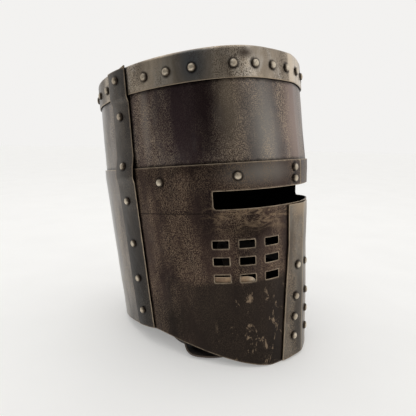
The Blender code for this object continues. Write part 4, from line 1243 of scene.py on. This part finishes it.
def rod(name, path, radius, material, closed):
    """A round rod along a path of points."""
    sides = 14
    count = len(path)
    points = []
    for k, middle in enumerate(path):
        before = path[(k - 1) % count] if closed or k else path[0]
        after = path[(k + 1) % count] if closed or k < count - 1 else path[-1]
        ahead = (after - before).normalized()
        side = ahead.cross(Vector((0, 0, 1)) if abs(ahead.z) < 0.9 else Vector((0, 1, 0))).normalized()
        up = side.cross(ahead)
        for turn in range(sides):
            angle = 2 * math.pi * turn / sides
            points.append(tuple(middle + (side * math.cos(angle) + up * math.sin(angle)) * radius))
    faces = squares(count, sides, ring=True)
    last = (count - 1) * sides
    faces += wall(last, 0, sides) if closed else [list(range(sides)), list(range(last, last + sides))]
    marks = (np.zeros((len(points), 3)), np.full((len(points), 3), FAR))
    return new_piece(name, points, faces, material, marks, sharp=50, frame_of=STANDING)


def round_box(low, high, turn, out=0.0):
    """Points round a box between two corners (u, v), with its corners rounded, and out from it."""
    found = []
    reach = turn + out
    for quarter, (u, v) in enumerate((high, (low[0], high[1]), low, (high[0], low[1]))):
        middle_u = u - turn if u == high[0] else u + turn
        middle_v = v - turn if v == high[1] else v + turn
        for step in range(6):
            angle = math.pi / 2 * (quarter + step / 5)
            found.append((middle_u + reach * math.cos(angle), middle_v + reach * math.sin(angle)))
    return found


def buckle_frame():
    """A rod bent to a rectangle with round corners."""
    y = BUCKLE_Y
    half = FRAME_ROD / 2
    low = (BAR_X, y - FRAME_WIDTH / 2 + half)
    high = (BAR_X + FRAME_LENGTH, y + FRAME_WIDTH / 2 - half)
    path = [Vector((u, v, BAR_Z)) for u, v in round_box(low, high, FRAME_CORNER)]
    return rod("buckle_frame", path, half, BRASS, True)


def buckle_prong():
    y = BUCKLE_Y
    rest_z = FRAME_ROD / 2 + GAP + PRONG_RADIUS
    stops = []
    for turn in (200, 160, 120, 85):
        angle = math.radians(turn)
        stops.append(Vector((BAR_X + PRONG_LOOP * math.cos(angle), y, BAR_Z + PRONG_LOOP * math.sin(angle))))
    stops.append(Vector((BAR_X + 0.007, y, BAR_Z + rest_z + 0.0001)))
    stops.append(Vector((BAR_X + FRAME_LENGTH + 0.0014, y, BAR_Z + rest_z)))
    return rod("buckle_prong", smooth_path(stops, 6), PRONG_RADIUS, BRASS, False)


def strap_keeper():
    """A loop of thinner leather round both layers."""
    half = STRAP_WIDTH / 2 + 2 * GAP
    y = BUCKLE_Y
    low = (y - half, STRAP_FLOOR - LEATHER / 2 - GAP)
    high = (y + half, STRAP_FLOOR + 1.5 * LEATHER + 5 * GAP)
    xs = np.linspace(KEEPER_X - KEEPER_WIDTH / 2, KEEPER_X + KEEPER_WIDTH / 2, 7)
    loops = [round_box(low, high, KEEPER_CORNER, out) for out in (KEEPER_THICKNESS, 0.0)]
    points = [(x, *spot) for loop in loops for x in xs for spot in loop]
    wear = [(KEEPER_WIDTH / 2 - abs(p[0] - KEEPER_X), FAR, FAR) for p in points]
    count = len(loops[0])
    size = count * len(xs)
    faces = squares(len(xs), count, ring=True) + squares(len(xs), count, size, ring=True, turned=True)
    faces += wall(0, size, count) + wall(size - count, 2 * size - count, count)
    marks = (np.zeros((len(points), 3)), wear)
    return new_piece("strap_keeper", points, faces, BROWN_LEATHER, marks, 0.0003, frame_of=STANDING)


# The stage.


def floor_sheet():
    """A white cloth on the floor, in rings that widen outwards, with soft folds away from the helmet."""
    rings, spokes, sunk = 170, 240, 0.0006
    points = [(0.0, 0.0, -sunk)]
    for j in range(1, rings + 1):
        radius = 0.012 * j + 14 * (j / rings) ** 6
        for i in range(spokes):
            angle = 2 * math.pi * i / spokes
            x, y = radius * math.cos(angle), radius * math.sin(angle)
            calm = min(1.0, max(0.0, (radius - 0.17) / 0.15))
            fold = noise.noise(Vector((x * 4 + y, y * 8, 1.3)))
            fold += 0.5 * noise.noise(Vector((x * 15, y * 10, 4)))
            points.append((x, y, -sunk + (0.008 * fold - 0.005) * calm))
    faces = [[0, 1 + i, 1 + (i + 1) % spokes] for i in range(spokes)]
    faces += squares(rings, spokes, 1, ring=True, turned=True)
    mesh = bpy.data.meshes.new("cloth_floor")
    mesh.from_pydata(points, [], faces)
    mesh.shade_smooth()
    n = Nodes("white_cloth")
    where = n.add("TexCoord", {}, "Object")
    soft = n.noise(where, 7, 4, 0.5)
    colour = n.mix(soft, (0.66, 0.66, 0.65), (0.72, 0.72, 0.71))
    spread_out = n.math("SQRT", n.plus(*[n.times(p, p) for p in list(n.parts(where))[:2]]))
    n.put(n.shader.inputs["Emission Color"], (1.0, 0.99, 0.975))
    n.put(n.shader.inputs["Emission Strength"], n.ramp(spread_out, 0.4, 3.0, 0.24, 0.25))
    mesh.materials.append(n.finish(colour, 0.95, n.bump(n.noise(where, 900, 2), 0.15, 0.0005)))
    add_object("cloth_floor", mesh)


# The room's dim side: how bright it is at each azimuth.
GLOW = ((-172, 0.8), (-150, 0.5), (-125, 0.30), (-108, 0.04), (-66, 0.03), (-30, 0.30), (0, 0.8), (30, 1.1))
WALL_RADIUS = 1.5
WALL_HEIGHT = 1.5


def dim_side():
    """An upright arc that shows only in what the steel reflects, darkest in its middle."""
    columns = 60
    azimuths = np.linspace(GLOW[0][0], GLOW[-1][0], columns)
    glow = np.tile(np.interp(azimuths, *zip(*GLOW)), 2)
    ring = [(WALL_RADIUS * math.sin(a), -WALL_RADIUS * math.cos(a)) for a in np.radians(azimuths)]
    points = [(x, y, h) for h in (-0.01, WALL_HEIGHT) for x, y in ring]
    faces = squares(2, columns)
    mesh = bpy.data.meshes.new("dim_side")
    mesh.from_pydata(points, [], faces)
    mesh.attributes.new("glow", "FLOAT", "POINT").data.foreach_set("value", glow.astype(np.float32))
    n = Nodes("dim_wall")
    n.put(n.shader.inputs["Base Color"], (0.02, 0.02, 0.02))
    n.put(n.shader.inputs["Emission Color"], (1.0, 0.98, 0.95))
    n.put(n.shader.inputs["Emission Strength"], n.attribute("glow", "Fac"))
    n.put(n.shader.inputs["Roughness"], 1.0)
    mesh.materials.append(n.material)
    arc = add_object("dim_side", mesh)
    arc.visible_camera = False
    arc.visible_diffuse = False


def light_stage():
    """A pale room all round, and a large soft lamp overhead."""
    scene = bpy.context.scene
    scene.view_settings.view_transform = "Standard"
    world = bpy.data.worlds.new("studio")
    scene.world = world
    world.use_nodes = True
    room = world.node_tree.nodes["Background"]
    room.inputs["Color"].default_value = (1.0, 0.99, 0.975, 1)
    room.inputs["Strength"].default_value = 0.895
    data = bpy.data.lights.new("top", "AREA")
    data.shape = "RECTANGLE"
    data.size = data.size_y = 1.6
    data.energy = 5
    lamp = add_object("top", data)
    lamp.location = (0.1, 0.2, 1.8)
    lamp.rotation_euler = (Vector((0, 0, 0.1)) - lamp.location).to_track_quat("-Z", "Y").to_euler()


def add_camera():
    """Seen from the wearer's right front, near the height of the eye slot."""
    at = Vector((-0.3883, -0.2785, -0.0012))
    turn, tilt, roll = math.radians(-54.45), math.radians(-6.33), math.radians(-3.41)
    ahead = Vector((-math.sin(turn) * math.cos(tilt), math.cos(turn) * math.cos(tilt), math.sin(tilt)))
    right = Vector((math.cos(turn), math.sin(turn), 0))
    up = right.cross(ahead)
    across = right * math.cos(roll) + up * math.sin(roll)
    over = -right * math.sin(roll) + up * math.cos(roll)
    data = bpy.data.cameras.new("camera")
    data.sensor_width = 36
    data.lens = 33.21
    data.clip_start = 0.01
    camera = add_object("camera", data)
    turned = Matrix((across, over, -ahead)).transposed().to_4x4()
    camera.matrix_world = UPRIGHT @ Matrix.Translation(at) @ turned
    bpy.context.scene.camera = camera


def put(piece, body="helmet"):
    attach(piece, body)
    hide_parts(piece.name.removesuffix(LOOK))


def dress():
    plates = [*skull_plates(), nape_plate(), top_plate()]
    plates += [face_plate("face_plate_right", -1), face_plate("face_plate_left", 1)]
    for piece in plates:
        put(piece)
    put(top_band())
    for piece in (side_strip("side_strip_right", -1), side_strip("side_strip_left", 1), nasal_plate()):
        put(piece)
    all_rivets()
    for piece in [head_band(), crown_disc()] + liner_tongues() + cheek_strips():
        put(piece)
    for piece in (strap_right(), strap_left(), strap_keeper()):
        put(piece, "chin_strap")
    put(buckle_frame(), "chin_strap")
    put(buckle_prong(), "prong")


dress()
floor_sheet()
dim_side()
light_stage()
add_camera()
